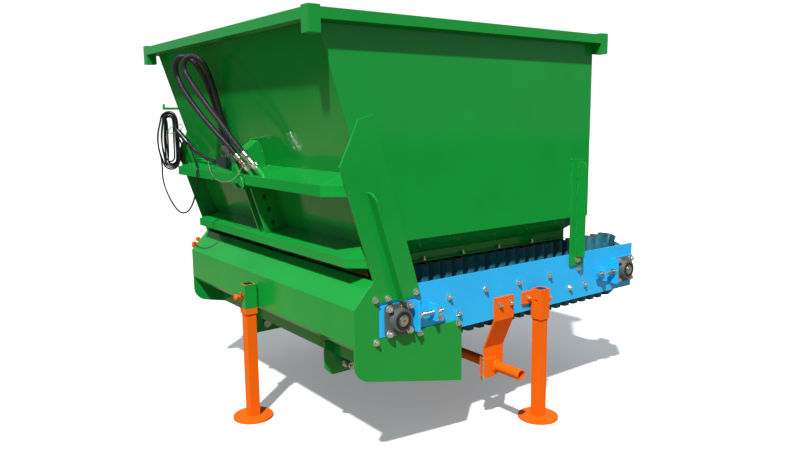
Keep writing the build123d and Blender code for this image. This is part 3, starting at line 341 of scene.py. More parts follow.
def relief(tree, shader, *layers):
    """Bumps, each over the normal the shader already has: (height, depth in metres, strength)."""
    normal = shader.inputs["Normal"]
    for height, depth, force in layers:
        bump = add_node(tree, "ShaderNodeBump", Height=height, Distance=depth, Strength=force)
        if normal.links:
            put(bump, Normal=normal.links[0].from_socket)
        feed(normal, bump.outputs["Normal"])


def build_groups():
    """The effects that several finishes share."""
    tree, takes, gives = group("sheet_waves", {"Vector": ORIGIN, "Scale": 2.4, "Stretch": 0.35},
                               {"Height": "Float"})
    stretch = add_node(tree, "ShaderNodeCombineXYZ", X=1.0, Y=1.0, Z=takes["Stretch"]).outputs["Vector"]
    vector = add_node(tree, "ShaderNodeMapping", Vector=takes["Vector"], Scale=stretch).outputs["Vector"]
    put(gives, Height=noise(tree, vector, takes["Scale"], 1.2, 0.35))

    tree, takes, gives = group("paint_film", {"Vector": ORIGIN, "Colour": GREY, "Shade": 0.12, "Gloss": 0.2},
                               SURFACE)
    drift = between(tree, noise(tree, takes["Vector"], 3.1, 5.0), 0.3, 0.7, -1.0, 1.0)
    dust = between(tree, noise(tree, takes["Vector"], 60.0, 6.0, 0.7), 0.45, 0.75, 0.0, 0.12)
    put(gives, Colour=tint(tree, takes["Colour"], drift, takes["Shade"]),
        Roughness=reckon(tree, "ADD", takes["Gloss"], dust), Height=noise(tree, takes["Vector"], 420.0, 1.0))

    tree, takes, gives = group("cut_edges", {"Radius": 1.5 * MM}, {"Normal": "Vector", "Edge": "Float"})
    rounded = add_node(tree, "ShaderNodeBevel", samples=4, Radius=takes["Radius"]).outputs["Normal"]
    dot = add_node(tree, "ShaderNodeVectorMath", operation="DOT_PRODUCT")
    feed(dot.inputs[0], rounded)
    feed(dot.inputs[1], add_node(tree, "ShaderNodeNewGeometry").outputs["Normal"])
    put(gives, Normal=rounded, Edge=between(tree, dot.outputs["Value"], 0.98, 0.8))

    tree, takes, gives = group("fine_grain", {"Vector": ORIGIN, "Scale": 300.0, "Colour": GREY, "Shade": 0.2,
                                              "Gloss": 0.4}, SURFACE)
    grain = noise(tree, takes["Vector"], takes["Scale"], 4.0, 0.6)
    stain = noise(tree, takes["Vector"], 14.0, 5.0, 0.6)
    mixed = reckon(tree, "ADD", reckon(tree, "MULTIPLY", grain, 0.5), reckon(tree, "MULTIPLY", stain, 0.5))
    drift = between(tree, mixed, 0.35, 0.65, -1.0, 1.0)
    rough = reckon(tree, "ADD", reckon(tree, "MULTIPLY", drift, 0.08), takes["Gloss"])
    put(gives, Colour=tint(tree, takes["Colour"], drift, takes["Shade"]), Roughness=rough, Height=grain)


def new_material(name):
    """A fresh material's tree, shader and texture places; the frame's plain one of this name makes way."""
    if name in bpy.data.materials:
        bpy.data.materials.remove(bpy.data.materials[name])
    material = bpy.data.materials.new(name)
    material.use_nodes = True
    tree = material.node_tree
    return tree, tree.nodes["Principled BSDF"], add_node(tree, "ShaderNodeTexCoord").outputs


def gloss_paint(name, colour, edge, wave=0.0, gloss=0.16, scale=2.4, mirror=0.36):
    """Sprayed gloss paint on sheet metal; wave is the depth of the sheet's unevenness in metres."""
    tree, shader, place = new_material(name)
    film = use(tree, "paint_film", Vector=place["Object"], Colour=(*colour, 1.0), Shade=0.05, Gloss=gloss)
    rim = use(tree, "cut_edges", Radius=edge)
    # Cut edges are blended towards a paler colour: partly paint worn thin, partly a painted highlight along
    # the edges.
    pale_wear_and_highlight = tuple(min(1.0, part * 1.2 + 0.10) for part in colour)
    edge_wear_and_highlight = reckon(tree, "MULTIPLY", rim["Edge"], 0.35)
    put(shader, Base_Color=blend(tree, edge_wear_and_highlight, film["Colour"], (*pale_wear_and_highlight, 1.0)), Roughness=film["Roughness"],
        Specular_IOR_Level=mirror, Normal=rim["Normal"])
    relief(tree, shader, (film["Height"], 0.03 * MM, 0.3))
    if wave:
        sheet = use(tree, "sheet_waves", Vector=place["Object"], Scale=scale, Stretch=0.3)
        relief(tree, shader, (sheet["Height"], wave, 1.0))


def grained(name, colour, roughness, scale, shade=0.2, depth=0.1 * MM, metallic=0.0, specular=0.5):
    """A matt or satin surface with an even grain, such as rubber, cast iron or zinc."""
    tree, shader, place = new_material(name)
    grain = use(tree, "fine_grain", Vector=place["Object"], Scale=scale, Colour=(*colour, 1.0),
                Shade=shade, Gloss=roughness)
    put(shader, Base_Color=grain["Colour"], Roughness=grain["Roughness"], Metallic=metallic,
        Specular_IOR_Level=specular)
    relief(tree, shader, (grain["Height"], depth, 0.5))
    return tree, shader, place


def belt_rubber(colour):
    """Moulded rubber, with reddish-brown specks along the top of the waves."""
    tree, shader, place = grained("belt_rubber", colour, 0.42, scale=90.0, shade=0.22, depth=0.25 * MM,
                                  specular=0.3)
    height = add_node(tree, "ShaderNodeSeparateXYZ", Vector=place["Object"]).outputs["Z"]
    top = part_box("belt")[1][2]
    near_top = between(tree, height, top - 12 * MM, top - 3 * MM)
    specks = between(tree, noise(tree, place["Object"], 26.0, 3.0), 0.52, 0.62)
    share = reckon(tree, "MULTIPLY", reckon(tree, "MULTIPLY", near_top, specks), 0.8)
    plain_rubber = shader.inputs["Base Color"].links[0].from_socket
    put(shader, Base_Color=blend(tree, share, plain_rubber, (0.16, 0.02, 0.012, 1.0)))


def screw_thread(colour, roughness, pitch):
    """A threaded rod along Y: rings across it at a pitch."""
    tree, shader, place = grained("screw_thread", colour, roughness, scale=500.0, shade=0.15, metallic=1.0)
    rings = 0.314 / pitch                           # at a scale of 1 the bands lie 0.314 m apart
    wave = add_node(tree, "ShaderNodeTexWave", wave_type="BANDS", bands_direction="Y", Scale=rings,
                    Vector=place["Object"])
    relief(tree, shader, (wave.outputs["Fac"], 0.6 * MM, 0.8))


def braided(name, colour, roughness, turns):
    """A sleeve wound round a hose, its ridges crossing at a slant; it follows the cord's own map."""
    tree, shader, place = grained(name, colour, roughness, scale=700.0, shade=0.3)
    slant = add_node(tree, "ShaderNodeMapping", Vector=place["UV"], Scale=(turns, 2.0, 1.0))
    wave = add_node(tree, "ShaderNodeTexWave", wave_type="BANDS", bands_direction="DIAGONAL", Scale=1.0,
                    Vector=slant.outputs["Vector"])
    relief(tree, shader, (wave.outputs["Fac"], 0.4 * MM, 0.6))


def dress(node, material):
    """Give a part of the frame one material."""
    piece = frame["nodes"][node]
    piece.data.materials.clear()
    piece.data.materials.append(bpy.data.materials[material])


class SPREADER_OT_paint(bpy.types.Operator):
    """Give every part of the machine its finish"""
    bl_idname = "spreader.paint"
    bl_label = "Paint the machine"

    def execute(self, context):
        paint = context.scene.spreader_paint
        build_groups()
        gloss_paint("green_paint", paint.green, paint.edge, wave=3 * MM, scale=3.0)
        gloss_paint("green_sheet", paint.green, paint.edge, wave=16 * MM, gloss=0.10)
        gloss_paint("blue_paint", paint.blue, paint.edge, wave=2 * MM, gloss=0.22)
        gloss_paint("orange_paint", paint.orange, paint.edge, gloss=0.42, mirror=0.12)
        belt_rubber(paint.belt)
        grained("seal_rubber", (0.016, 0.016, 0.017), 0.5, scale=160.0)
        grained("cable_rubber", (0.010, 0.010, 0.011), 0.32, scale=500.0, depth=0.05 * MM)
        braided("hose_sleeve", (0.018, 0.016, 0.022), 0.40, 700.0)
        grained("bright_steel", (0.60, 0.60, 0.58), 0.26, scale=220.0, metallic=1.0, shade=0.15)
        grained("drum_steel", (0.33, 0.32, 0.30), 0.36, scale=120.0, metallic=1.0, shade=0.25)
        grained("zinc_plate", (0.82, 0.81, 0.78), 0.24, scale=180.0, metallic=1.0, shade=0.18,
                depth=0.05 * MM)
        grained("cast_grey", (0.085, 0.105, 0.100), 0.46, scale=380.0, shade=0.3, depth=0.3 * MM)
        grained("brass", (0.72, 0.42, 0.16), 0.28, scale=260.0, metallic=1.0)
        grained("red_ring", (0.55, 0.012, 0.012), 0.4, scale=260.0)
        screw_thread((0.62, 0.60, 0.54), 0.3, 2 * MM)
        for part in frame["record"]["subparts"]:
            dress(part["node"], part["material_slot"])
        gloss_paint("side_sheet", paint.green, paint.edge, wave=3 * MM, gloss=0.07, scale=1.6)
        for node in ("hopper_front", "hopper_rear"):
            dress(node, "green_sheet")
        for node in ("hopper_side_left", "hopper_side_right"):
            dress(node, "side_sheet")
        dress("take_up_screws", "screw_thread")
        return {"FINISHED"}


# -------- stage
def studio_floor():
    """White to the camera; what it throws back onto the machine is a painted reflection of sunlit earth, dark
    further out, which also tints the bounced light.
    """
    tree, shader, place = new_material("studio_floor")
    eye = add_node(tree, "ShaderNodeLightPath").outputs["Is Camera Ray"]
    far = add_node(tree, "ShaderNodeVectorMath", operation="LENGTH", Vector=place["Object"]).outputs["Value"]
    # Painted reflection: rays that are not the camera's see sunlit earth near the machine and a dark band
    # further out.
    painted_yard_reflection = blend(tree, between(tree, far, 4.0, 6.5), (0.32, 0.27, 0.19, 1), (0.03, 0.05, 0.02, 1))
    # Painted light: to the camera the floor glows faintly, which lightens the shadows cast on it.
    put(shader, Base_Color=blend(tree, eye, painted_yard_reflection, (0.9, 0.9, 0.9, 1)), Roughness=0.9, Specular_IOR_Level=0.0,
        Emission_Color=blend(tree, eye, (0, 0, 0, 1), (0.20, 0.20, 0.20, 1)), Emission_Strength=1.0)


class SPREADER_OT_stage(bpy.types.Operator):
    """Set the floor, the lights and the camera"""
    bl_idname = "spreader.stage"
    bl_label = "Set the stage"

    def execute(self, context):
        setting = context.scene.spreader_stage
        studio_floor()
        floor = start("studio_floor", "plane", size=80, location=(0, 0, -0.5 * MM))
        floor.data.materials.append(bpy.data.materials["studio_floor"])

        world = bpy.data.worlds.new("studio_sky")
        context.scene.world = world
        world.use_nodes = True
        tree = world.node_tree
        eye = add_node(tree, "ShaderNodeLightPath").outputs["Is Camera Ray"]
        soft = put(tree.nodes["Background"], Color=(0.80, 0.90, 1.0, 1), Strength=setting.sky)
        white = add_node(tree, "ShaderNodeBackground", Color=(1, 1, 1, 1), Strength=1.1)
        either = add_node(tree, "ShaderNodeMixShader", Fac=eye)
        feed(either.inputs[1], soft.outputs["Background"])
        feed(either.inputs[2], white.outputs["Background"])
        put(tree.nodes["World Output"], Surface=either.outputs["Shader"])

        bpy.ops.object.light_add(type="SUN")
        sun = context.object
        sun.name = "key_sun"
        sun.matrix_world = Vector(setting.sun_from).to_track_quat("Z", "Y").to_matrix().to_4x4()
        sun.data.energy = setting.sun
        sun.data.angle = math.radians(2)

        bpy.ops.object.camera_add()
        camera = context.object
        camera.name = "studio_camera"
        camera.data.sensor_width = 36
        camera.data.lens = setting.lens
        turn = Euler((math.pi / 2 - setting.elevation, 0, setting.azimuth), "XYZ").to_matrix()
        camera.matrix_world = (Matrix.Translation(setting.place) @
                               (turn @ Matrix.Rotation(setting.roll, 3, "Z")).to_4x4())
        context.scene.camera = camera
        context.scene.view_settings.view_transform = "Standard"
        return {"FINISHED"}


# -------- hoses and cables
LEAN = Vector((0.594, 0.367, -0.716)).normalized()          # the way the parked couplers point
CONNECTOR_LEAN = Vector((0.626, 0.335, -0.704)).normalized()
COUPLERS = ((60, -23, 91), (134, -24, 104))
CONNECTOR = (113.7, -4.2, 189.4)
PLUG = (15.5, 49.5, 80)
COIL = (4, -10, 135)

# From the upper beam's front edge, in millimetres, as the solids' own routes run.
HOSES = (
    ((-76, -68, 201), (-187, -96, 291), (-273, -130, 392), (-300, -154, 477), (-234, -156, 541),
     (-169, -112, 522), (-190, -59, 456), (-230, -1, 349), (-249, 41, 234), (-296, 76, 144), (-296, 76, 84)),
    ((26, -76, 234), (-68, -110, 329), (-128, -134, 404), (-178, -162, 478), (-144, -148, 540),
     (-98, -96, 518), (-146, -40, 430), (-187, 2, 345), (-219, 43, 230), (-256, 76, 144), (-256, 76, 84)))
SLEEVE = ((-560, 54, 70), (-490, 64, 46), (-420, 70, 37), (-345, 70, 37))
WIRE = ((-338, 51, 46), (-338, 24, 46), (-309, -2, 54), (-284, -15, 29), (-261, -18, 3), (-223, -18, -26),
        (-165, -18, -42), (-103, -18, -43), (-41, -18, -35), (15, -18, -18), (58, -18, 4), (78, -17, 21),
        (91.5, -10.3, 38))
DROP = ((268, 10, 70), (383, -14, 21), (395, -21, -53), (366, -25, -142), (282, -29, -227),
        (152, -33, -248), (30, -39, -183), (-45, -48, -88))
LEAD = ((74, -8, 228), (44, 14, 244))
PLUG_LEAD = ((28, 26, 148), (19, 42, 132), (15.5, 49.5, 108), (15.5, 49.5, 80))


def hung(points, x=0.0):
    """Points given from the upper beam's front edge, in the machine's frame."""
    return [BEAM_EDGE + Vector((x, 0, 0)) + Vector(point) * MM for point in points]


def beside(points):
    """Points given from the right side plate and the upper beam's front edge."""
    return hung(points, -PLATE_X)


def connector_exit(offset, distance):
    """A point on the connector's lower face, and one straight ahead of it."""
    down = (-UP + CONNECTOR_LEAN * CONNECTOR_LEAN.z).normalized()
    top = beside([CONNECTOR])[0]
    return [top + CONNECTOR_LEAN * reach * MM + down * offset * MM for reach in (90, 90 + distance)]


def line(name, points, radius, slot):
    """A cord on one open smooth line through the pull of its points."""
    curve = bpy.data.curves.new(name, "CURVE")
    curve.dimensions = "3D"
    spline = curve.splines.new("NURBS")
    spline.points.add(len(points) - 1)
    for knot, point in zip(spline.points, points):
        knot.co = (*point, 1)
    spline.order_u = 3
    spline.use_endpoint_u = True
    spline.resolution_u = 8
    curve.bevel_depth = radius
    curve.bevel_resolution = 3
    curve.use_fill_caps = True
    piece = bpy.data.objects.new(name, curve)
    bpy.context.collection.objects.link(piece)
    return fit(piece, slot)


def spline_length(piece):
    """The length of a cord's own line."""
    curve = piece.data.copy()
    curve.bevel_depth = 0
    bare = bpy.data.objects.new("measure", curve)
    mesh = bpy.data.meshes.new_from_object(bare)
    ends = ([mesh.vertices[index].co for index in edge.vertices] for edge in mesh.edges)
    total = sum((first - second).length for first, second in ends)
    bpy.data.objects.remove(bare)
    return total


def coupler(name, place, ring):
    """One quick coupler: crimped ferrule, hexagon, collar, knurled sleeve and its open nose."""
    crimp = [(0, 15.2)]
    for groove in range(4):
        z = 3 + groove * 5.4
        crimp += [(z, 15.2), (z + 0.6, 14.2), (z + 2.6, 14.2), (z + 3.2, 15.2)]
    crimp += [(25, 15.2), (26, 13.6)]
    parts = [turned("coupler_part", steps, sides) for sides, steps in (
        (24, crimp),
        (6, ((26, 15.2), (26.6, 15.8), (38, 15.8), (39, 15))),
        (20, ((39, 12.6), (57, 12.6))),
        (24, ((56, 14.5), (57, 16), (66, 16), (67, 14.5))),
        (20, ((66, 13.4), (70, 13.4), (71, 14.2), (90, 14.2), (92, 13))),
        (20, ((92, 11), (97.8, 11), (97.8, 8), (94, 7.4))))]
    knurl = turned("coupler_knurl", ((0, 1.1), (14, 1.1)), 4)
    ridges = [Matrix.Rotation(math.tau * index / 18, 4, "Z") @ Matrix.Translation((14 * MM, 0, 73 * MM))
              for index in range(18)]
    parts.append(set_out("coupler_ridges", knurl, ridges))
    drop(knurl)
    body = fit(stand(join(name, *parts), facing(place, LEAN)), "zinc_plate")
    band = turned(f"{name}_band", ((46, 13.2), (46.4, 14), (53, 14), (53.4, 13.2)), 24)
    return body, fit(stand(band, facing(place, LEAN)), "zinc_plate", ring)


class SPREADER_OT_hoses(bpy.types.Operator):
    """The two hydraulic hoses with their couplers, and the junction block's fittings"""
    bl_idname = "spreader.hoses"
    bl_label = "Hoses"

    def execute(self, context):
        spots = [Matrix.Translation(hung(route)[-1]) for route in HOSES]
        for name, slot, sides, steps in (
                ("block_adapters", "zinc_plate", 6, ((-26, 12), (-25, 16.5), (-9, 16.5), (-8, 15.2))),
                ("hose_ferrules", "cast_grey", 24,
                 ((-1, 14.6), (1, 15.4), (16, 15.4), (17, 13.6), (19, 13.6), (20, 15.4), (36, 15.4),
                  (37.5, 13)))):
            fitting = turned("fitting_pattern", steps, sides)
            fit(set_out(name, fitting, spots), slot)
            drop(fitting)
        for which, top, route, ring, long in zip(("near", "far"), hung(COUPLERS), HOSES,
                                                 ("red_ring", "zinc_plate"), (1.205, 1.127)):
            points = [top, top - LEAN * 60 * MM, *hung(route)]
            piece = line("hose_line_" + which, points[::-1], 12.5 * MM, "hose_sleeve")
            body, band = coupler("coupler_" + which, top, ring)
            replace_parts(piece, "hose_" + which)
            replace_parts(body, "quick_couplers")
        return {"FINISHED"}


def coil_points(turns):
    """The wound turns of the cable: out to in on one layer, then in to out on the next."""
    centre = beside([COIL])[0]
    along = Vector((math.sqrt(0.5), math.sqrt(0.5), 0))
    depth = Vector((-math.sqrt(0.5), math.sqrt(0.5), 0))
    heights = (-107, -40, 35, 104)
    left, right = [(-1, 0, z) for z in heights], [(1, 0, z) for z in heights[::-1]]
    top, low = ([(math.cos(math.radians(turn)), math.sin(math.radians(turn)), end) for turn in fan]
                for end, fan in ((107, (140, 90, 40)), (-107, (-40, -90, -140))))
    shape = left + top + right + low
    points = []
    for step in range(int(turns * len(shape))):
        wound = step / len(shape)
        side, cap, base = shape[step % len(shape)]
        if wound < 3:                               # three turns inwards on the near layer
            radius, layer = 54 - 10 * wound, -7
        elif wound < 3.5:                           # half a turn from one layer to the other
            radius, layer = 24 + 8 * (wound - 3), -7 + 24 * (wound - 3)
        else:                                       # the rest outwards on the far layer
            radius, layer = 28 + 10 * (wound - 3.5), 5
        sway = 3 * math.sin(1.9 * wound)
        droop = 2.5 * math.sin(2.7 * wound + 1)
        if base < 0:
            droop += 0.6 * (54 - radius)
        across = side * radius
        if cap == 0 and side < 0:                   # the left-hand runs are drawn together
            across = -8 - (radius - 24) * (2.1 if abs(base) < 50 else 1.4)
        out = along * (across + sway) + UP * (base + cap * radius + droop)
        points.append(centre + (out + depth * (layer + math.sin(step * 1.3))) * MM)
    return points


class SPREADER_OT_cables(bpy.types.Operator):
    """The control cable with its coil, connector and plug, the sleeve and the cap's wire"""
    bl_idname = "spreader.cables"
    bl_label = "Cables"

    def execute(self, context):
        top = beside([CONNECTOR])[0]
        body = turned("cable_joint", ((0, 13), (2, 15), (12, 15), (13, 13.6), (30, 13.6), (31, 15),
                                      (36, 15), (37, 12.8), (52, 12.8), (53, 14.8), (82, 14.8), (84, 13),
                                      (90, 12.6)), 24)
        joint = fit(stand(body, facing(top, CONNECTOR_LEAN)), "cable_rubber")
        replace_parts(joint, "cable_connector")
        sleeve = [*connector_exit(-5.4, 59), *hung(SLEEVE)]
        piece = line("feed_line", sleeve[::-1], 9.5 * MM, "hose_sleeve")
        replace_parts(piece, "feed_sleeve")

        plug = turned("switch_plug", ((-62, 9), (-61, 12.3), (-24, 12.3), (-23, 10.8), (-20, 10.8),
                                      (-19, 12.3), (-8, 11.8), (-1, 6), (0, 4.6)), 20)
        plug = fit(stand(plug, Matrix.Translation(beside([PLUG])[0])), "cable_rubber")
        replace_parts(plug, "cable_plug")
        points = [*connector_exit(10.4, 44), *beside(DROP), *coil_points(6.5), *beside(PLUG_LEAD)]
        piece = line("control_cable", points, 4.5 * MM, "cable_rubber")
        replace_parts(piece, "cable_drop", "cable_coil", "plug_lead")
        spline_length(piece)

        points = [top, top - CONNECTOR_LEAN * 28 * MM, *beside(LEAD)]
        piece = line("joint_lead", points, 4.5 * MM, "cable_rubber")
        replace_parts(piece, "cable_lead")

        points = hung(WIRE)
        piece = line("cap_wire", points, 2 * MM, "zinc_plate")
        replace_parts(piece, "dust_wire")
        return {"FINISHED"}


# -------- fasteners
def plate_bolt(size, long=8):
    """A washer, a nut and the bolt's threaded end, standing on Z; long is in millimetres."""
    washer, nut, stud = size.washer / MM, size.nut / MM, size.stud / MM
    seat, top = 2.8, 12                             # the nut's two ends
    end = top + long
    return join("bolt_pattern",
                turned("washer", ((0, washer), (2.2, washer), (seat, washer * 0.94)), 18),
                turned("nut", ((seat, nut), (top - 1.2, nut), (top, nut * 0.86)), 6),
                turned("stud", ((top - 1, stud), (end - 1, stud), (end, stud * 0.8)), 10))


def both_sides(*rows):
    """Places on the left, each with its mirror image, from rows of x and [(y, z) in millimetres, ...]."""
    return [(side * x, y * MM, z * MM) for x, row in rows for y, z in row for side in (1, -1)]


def stand_out(places, turn, first=0.0, size=1.0):
    """Matrices that point outwards along X, each pattern turned a little from the last."""
    return [facing(place, (math.copysign(1, place[0]), 0, 0), first + turn * index, size)
            for index, place in enumerate(places)]


class SPREADER_OT_bolts(bpy.types.Operator):
    """Bolt the plates, brackets and arms together"""
    bl_idname = "spreader.bolts"
    bl_label = "Bolts"

    def execute(self, context):
        bolt = plate_bolt(context.scene.spreader_hardware)
        members = [(FRONT_DRUM_Y / MM + 281 + 214 * step, 672) for step in range(4)]
        members += [(443, 588), (558, 588), (504, 679), (-400, 588), (-296, 592)]
        plates = [(-743, 724), (-682, 722), (-540, 726), (-741, 551), (-520, 549), (-307, 552)]
        posts = [(482, 726)]
        spread = both_sides((PLATE_X, members), (SIDE_X, plates + posts))
        fit(set_out("plate_bolts", bolt, stand_out(spread, 0.7)), "zinc_plate")

        legs, arms = [(133, 591), (229, 591)], [(-52, 586), (16, 586)]
        small = both_sides((PLATE_X + 12 * MM, legs), (SIDE_X, arms))
        fit(set_out("bracket_bolts", bolt, stand_out(small, 0.5, size=0.92)), "zinc_plate")
        drop(bolt)
        return {"FINISHED"}


class SPREADER_OT_belt(bpy.types.Operator):
    """Give the belt its moulded, rounded skin"""
    bl_idname = "spreader.belt"
    bl_label = "Belt"

    def execute(self, context):
        skin = frame["nodes"]["belt"].copy()
        skin.data = skin.data.copy()
        skin.name = "belt_skin"
        context.collection.objects.link(skin)
        only(skin)
        bpy.ops.object.mode_set(mode="EDIT")
        bpy.ops.mesh.select_all(action="SELECT")
        bpy.ops.mesh.remove_doubles(threshold=0.05 * MM)
        fit(settle(skin, 58), "belt_rubber")
        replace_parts(skin, "belt")
        return {"FINISHED"}


class SPREADER_OT_skirts(bpy.types.Operator):
    """Fold the flanges under the hopper's throat and bolt the seals to them"""
    bl_idname = "spreader.skirts"
    bl_label = "Throat flanges"

    def execute(self, context):
        (_, _, low), (_, rear, _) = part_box("hopper_side_left")
        top, rear, ahead = low + 5 * MM, rear - 4 * MM, wall_y(low)
        inner, outer = THROAT_X + 4 * MM, THROAT_X + 30 * MM
        strips = []
        for side in (-1, 1):
            strip = block("throat_flange", (outer - inner, rear - ahead, top - low),
                          (side * (inner + outer) / 2, (ahead + rear) / 2, (low + top) / 2))
            mark(strip, edges=lambda spot, way: abs(way.y) > 0.9 and abs(spot.x) > outer - MM)
            bpy.ops.mesh.bevel(offset=1.5 * MM, segments=2)
            mark(strip, edges=lambda spot, way: abs(way.z) > 0.9 and abs(spot.x) > outer - 3 * MM)
            bpy.ops.mesh.bevel(offset=6 * MM, segments=3)
            strips.append(settle(strip))
        fit(join("throat_flanges", *strips), "green_paint")

        bolt = plate_bolt(context.scene.spreader_hardware, 12)
        places = [facing((side * (THROAT_X + 16 * MM), (-596 + 231 * step) * MM, top), UP, step * 0.9, 0.72)
                  for side in (-1, 1) for step in range(5)]
        fit(set_out("skirt_bolts", bolt, places), "zinc_plate")
        drop(bolt)
        return {"FINISHED"}


# -------- bearings and shafts
class SPREADER_OT_bearings(bpy.types.Operator):
    """Finish the flanged bearings with seals, collars, nipples and nuts"""
    bl_idname = "spreader.bearings"
    bl_label = "Bearings"

    def execute(self, context):
        flange_x = PLATE_X + 23 * MM
        hub, shaft = (BEARING_FACE_X - flange_x) / MM, (SHAFT_END_X - flange_x) / MM
        spots = ((1, FRONT_DRUM_Y), (1, REAR_DRUM_Y), (-1, REAR_DRUM_Y))
        out = [facing((side * flange_x, y, DRUM_Z), (side, 0, 0)) for side, y in spots]
        for name, slot, sides, steps in (
                ("bearing_lips", "cast_grey", 40,
                 ((0, 50), (5, 49), (8, 47), (hub - 3, 46.4), (hub + 1, 44), (hub + 1.2, 40))),
                ("bearing_seals", "seal_rubber", 36,
                 ((hub - 1, 38), (hub + 2.4, 38), (hub + 3, 36), (hub + 2.2, 32), (hub + 2.2, 22))),
                ("lock_collars", "bright_steel", 32,
                 ((hub - 1, 23), (hub + 4.2, 23), (hub + 5, 22), (hub + 5, 20.4))),
                ("shaft_centres", "bright_steel", 28,
                 ((shaft - 1, 18.4), (shaft + 0.8, 17.6), (shaft + 0.8, 7), (shaft - 4, 1.5)))):
            ring = turned("ring_pattern", steps, sides)
            fit(set_out(name, ring, out), slot)
            drop(ring)

        nipple = turned("nipple", ((0, 5), (5, 5), (5.5, 3.4), (11, 3), (12, 3.9), (15, 3.6), (17, 2.2)), 10)
        upright = [facing((side * (flange_x + 12 * MM), y, DRUM_Z + 45 * MM), UP) for side, y in spots]
        fit(set_out("grease_nipples", nipple, upright), "zinc_plate", "brass")

        bolt = plate_bolt(context.scene.spreader_hardware, 6)
        corners = [(side * flange_x, y + dy * 51 * MM, DRUM_Z + dz * 51 * MM)
                   for side, y in spots for dy in (-1, 1) for dz in (-1, 1)]
        fit(set_out("bearing_bolts", bolt, stand_out(corners, 1.1, 0.4, 1.12)), "zinc_plate")
        drop(nipple, bolt)
        return {"FINISHED"}


# -------- leg pins, link pins, arm bolts
def linch_pin():
    """A straight pin with its spring ring lying over it."""
    stem = turned("linch_stem", ((-22, 3), (-20, 4.2), (16, 4.2), (16, 7), (22, 7), (23, 5.6)), 12)
    ring = start("linch_ring", "torus", major_radius=19 * MM, minor_radius=2.2 * MM, major_segments=28,
                 minor_segments=8, location=(0, 0, 3 * MM), rotation=(math.pi / 2, 0, 0))
    bpy.ops.object.mode_set(mode="EDIT")
    mark(ring, faces=lambda spot, normal: spot.z < -12 * MM)
    bpy.ops.transform.resize(value=(0.7, 1, 1), center_override=(0, 0, 0))
    return join("linch_pattern", stem, settle(ring, 60))


def leg_latch():
    """The knob and the bent lever of a leg's lock pin."""
    knob = turned("lock_knob", ((-8, 7.6), (1, 7.6), (1, 13), (7, 13), (8, 8), (22, 7.5), (24, 12), (28, 15),
                                (34, 15.5), (39, 12.5), (41, 7)), 20)
    lever = block("lock_lever", (12 * MM, 44 * MM, 5 * MM), (0, 0, 11 * MM))
    mark(lever, faces=lambda spot, normal: normal.y < -0.9)
    bpy.ops.mesh.extrude_region_move(TRANSFORM_OT_translate={"value": (0, -14 * MM, 10 * MM)})
    bpy.ops.transform.resize(value=(0.7, 1, 1))
    mark(lever, edges=lambda spot, way: abs(way.x) < 0.3)
    bpy.ops.mesh.bevel(offset=1.2 * MM, segments=2)
    return join("latch_pattern", knob, settle(lever))


class SPREADER_OT_pins(bpy.types.Operator):
    """Linch pins, the legs' lock pins and end plugs, and the bolts of the arms' clamps"""
    bl_idname = "spreader.pins"
    bl_label = "Pins"

    def execute(self, context):
        linch = linch_pin()
        link_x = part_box("lower_link_pins")[1][0] - 12 * MM
        link_y, link_z = middle("lower_link_pins", 1), middle("lower_link_pins", 2)
        spots = [facing((side * link_x, link_y, link_z), (0.1 * side, -0.5, 0.86), side)
                 for side in (-1, 1)]
        fit(set_out("linch_pins", linch, spots), "zinc_plate")

        latch = leg_latch()
        above = 57.5 * MM                           # the lock pins, over their sockets' lower ends
        ahead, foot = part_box("leg_socket_front")[0][1:]
        rear_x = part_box("leg_socket_rear_left")[1][0] - 30 * MM
        rear_y, rear_z = middle("leg_socket_rear_left", 1) + 32.5 * MM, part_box("leg_socket_rear_left")[0][2]
        spots = [facing((0, ahead, foot + above), (0, -1, 0), 2.4)]
        spots += [facing((side * rear_x, rear_y, rear_z + above), (0, 1, 0), 2.4 * side)
                  for side in (-1, 1)]
        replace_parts(fit(set_out("leg_latches", latch, spots), "orange_paint"), "lock_pins")

        arm_x, arm_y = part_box("tube_arm_left")[0][:2]
        tube_y, tube_z = middle("cross_tube", 1), middle("cross_tube", 2)
        half = 44                                   # half the clamp's height, in millimetres
        shank = turned("clamp_bolt", ((-half - 22, 5.2), (-half - 21, 6), (-half - 16, 6), (-half - 16, 11),
                                      (-half - 1, 11), (-half - 1, 6), (half, 6), (half, 11), (half + 8, 11),
                                      (half + 9, 9.4)), 12)
        spots = [Matrix.Translation((side * (arm_x + 24 * MM), arm_y + MM, tube_z)) for side in (-1, 1)]
        fit(set_out("clamp_bolts", shank, spots), "zinc_plate")

        low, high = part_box("cross_tube")
        tube = (high[2] - low[2]) / 2 / MM
        bead = turned("tube_bead", ((0, tube + 1), (0.5, tube + 6), (3, tube + 7.5), (6, tube + 5),
                                    (9, tube + 0.4)), 30)
        spots = [facing((side * (arm_x + 48 * MM), tube_y, tube_z), (side, 0, 0)) for side in (-1, 1)]
        fit(set_out("tube_beads", bead, spots), "orange_paint")

        stopper = turned("plug_pattern", ((-4, 29), (0.8, 29), (1.8, 26), (2.2, 18)), 4)
        square = Matrix.Rotation(math.pi / 4, 4, "Z")
        for leg in ("leg_front", "leg_rear_left", "leg_rear_right"):
            spot = Matrix.Translation((middle(leg, 0), middle(leg, 1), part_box(leg)[1][2])) @ square
            fit(set_out(leg + "_plug", stopper, [spot]), "seal_rubber", body=leg)
        drop(linch, latch, shank, bead, stopper)
        return {"FINISHED"}


# -------- welds
def weld_drop(half):
    """One drop of weld, flat underneath."""
    piece = start("weld_drop", "uv_sphere", segments=8, ring_count=5, radius=half)
    bpy.ops.object.mode_set(mode="EDIT")
    mark(piece, faces=lambda spot, normal: spot.z < -half * 0.4)
    bpy.ops.mesh.delete(type="FACE")
    mark(piece, edges=lambda spot, way: spot.z < -half * 0.3 and abs(way.z) < 0.1)
    bpy.ops.mesh.edge_face_add()
    return settle(piece, 50)


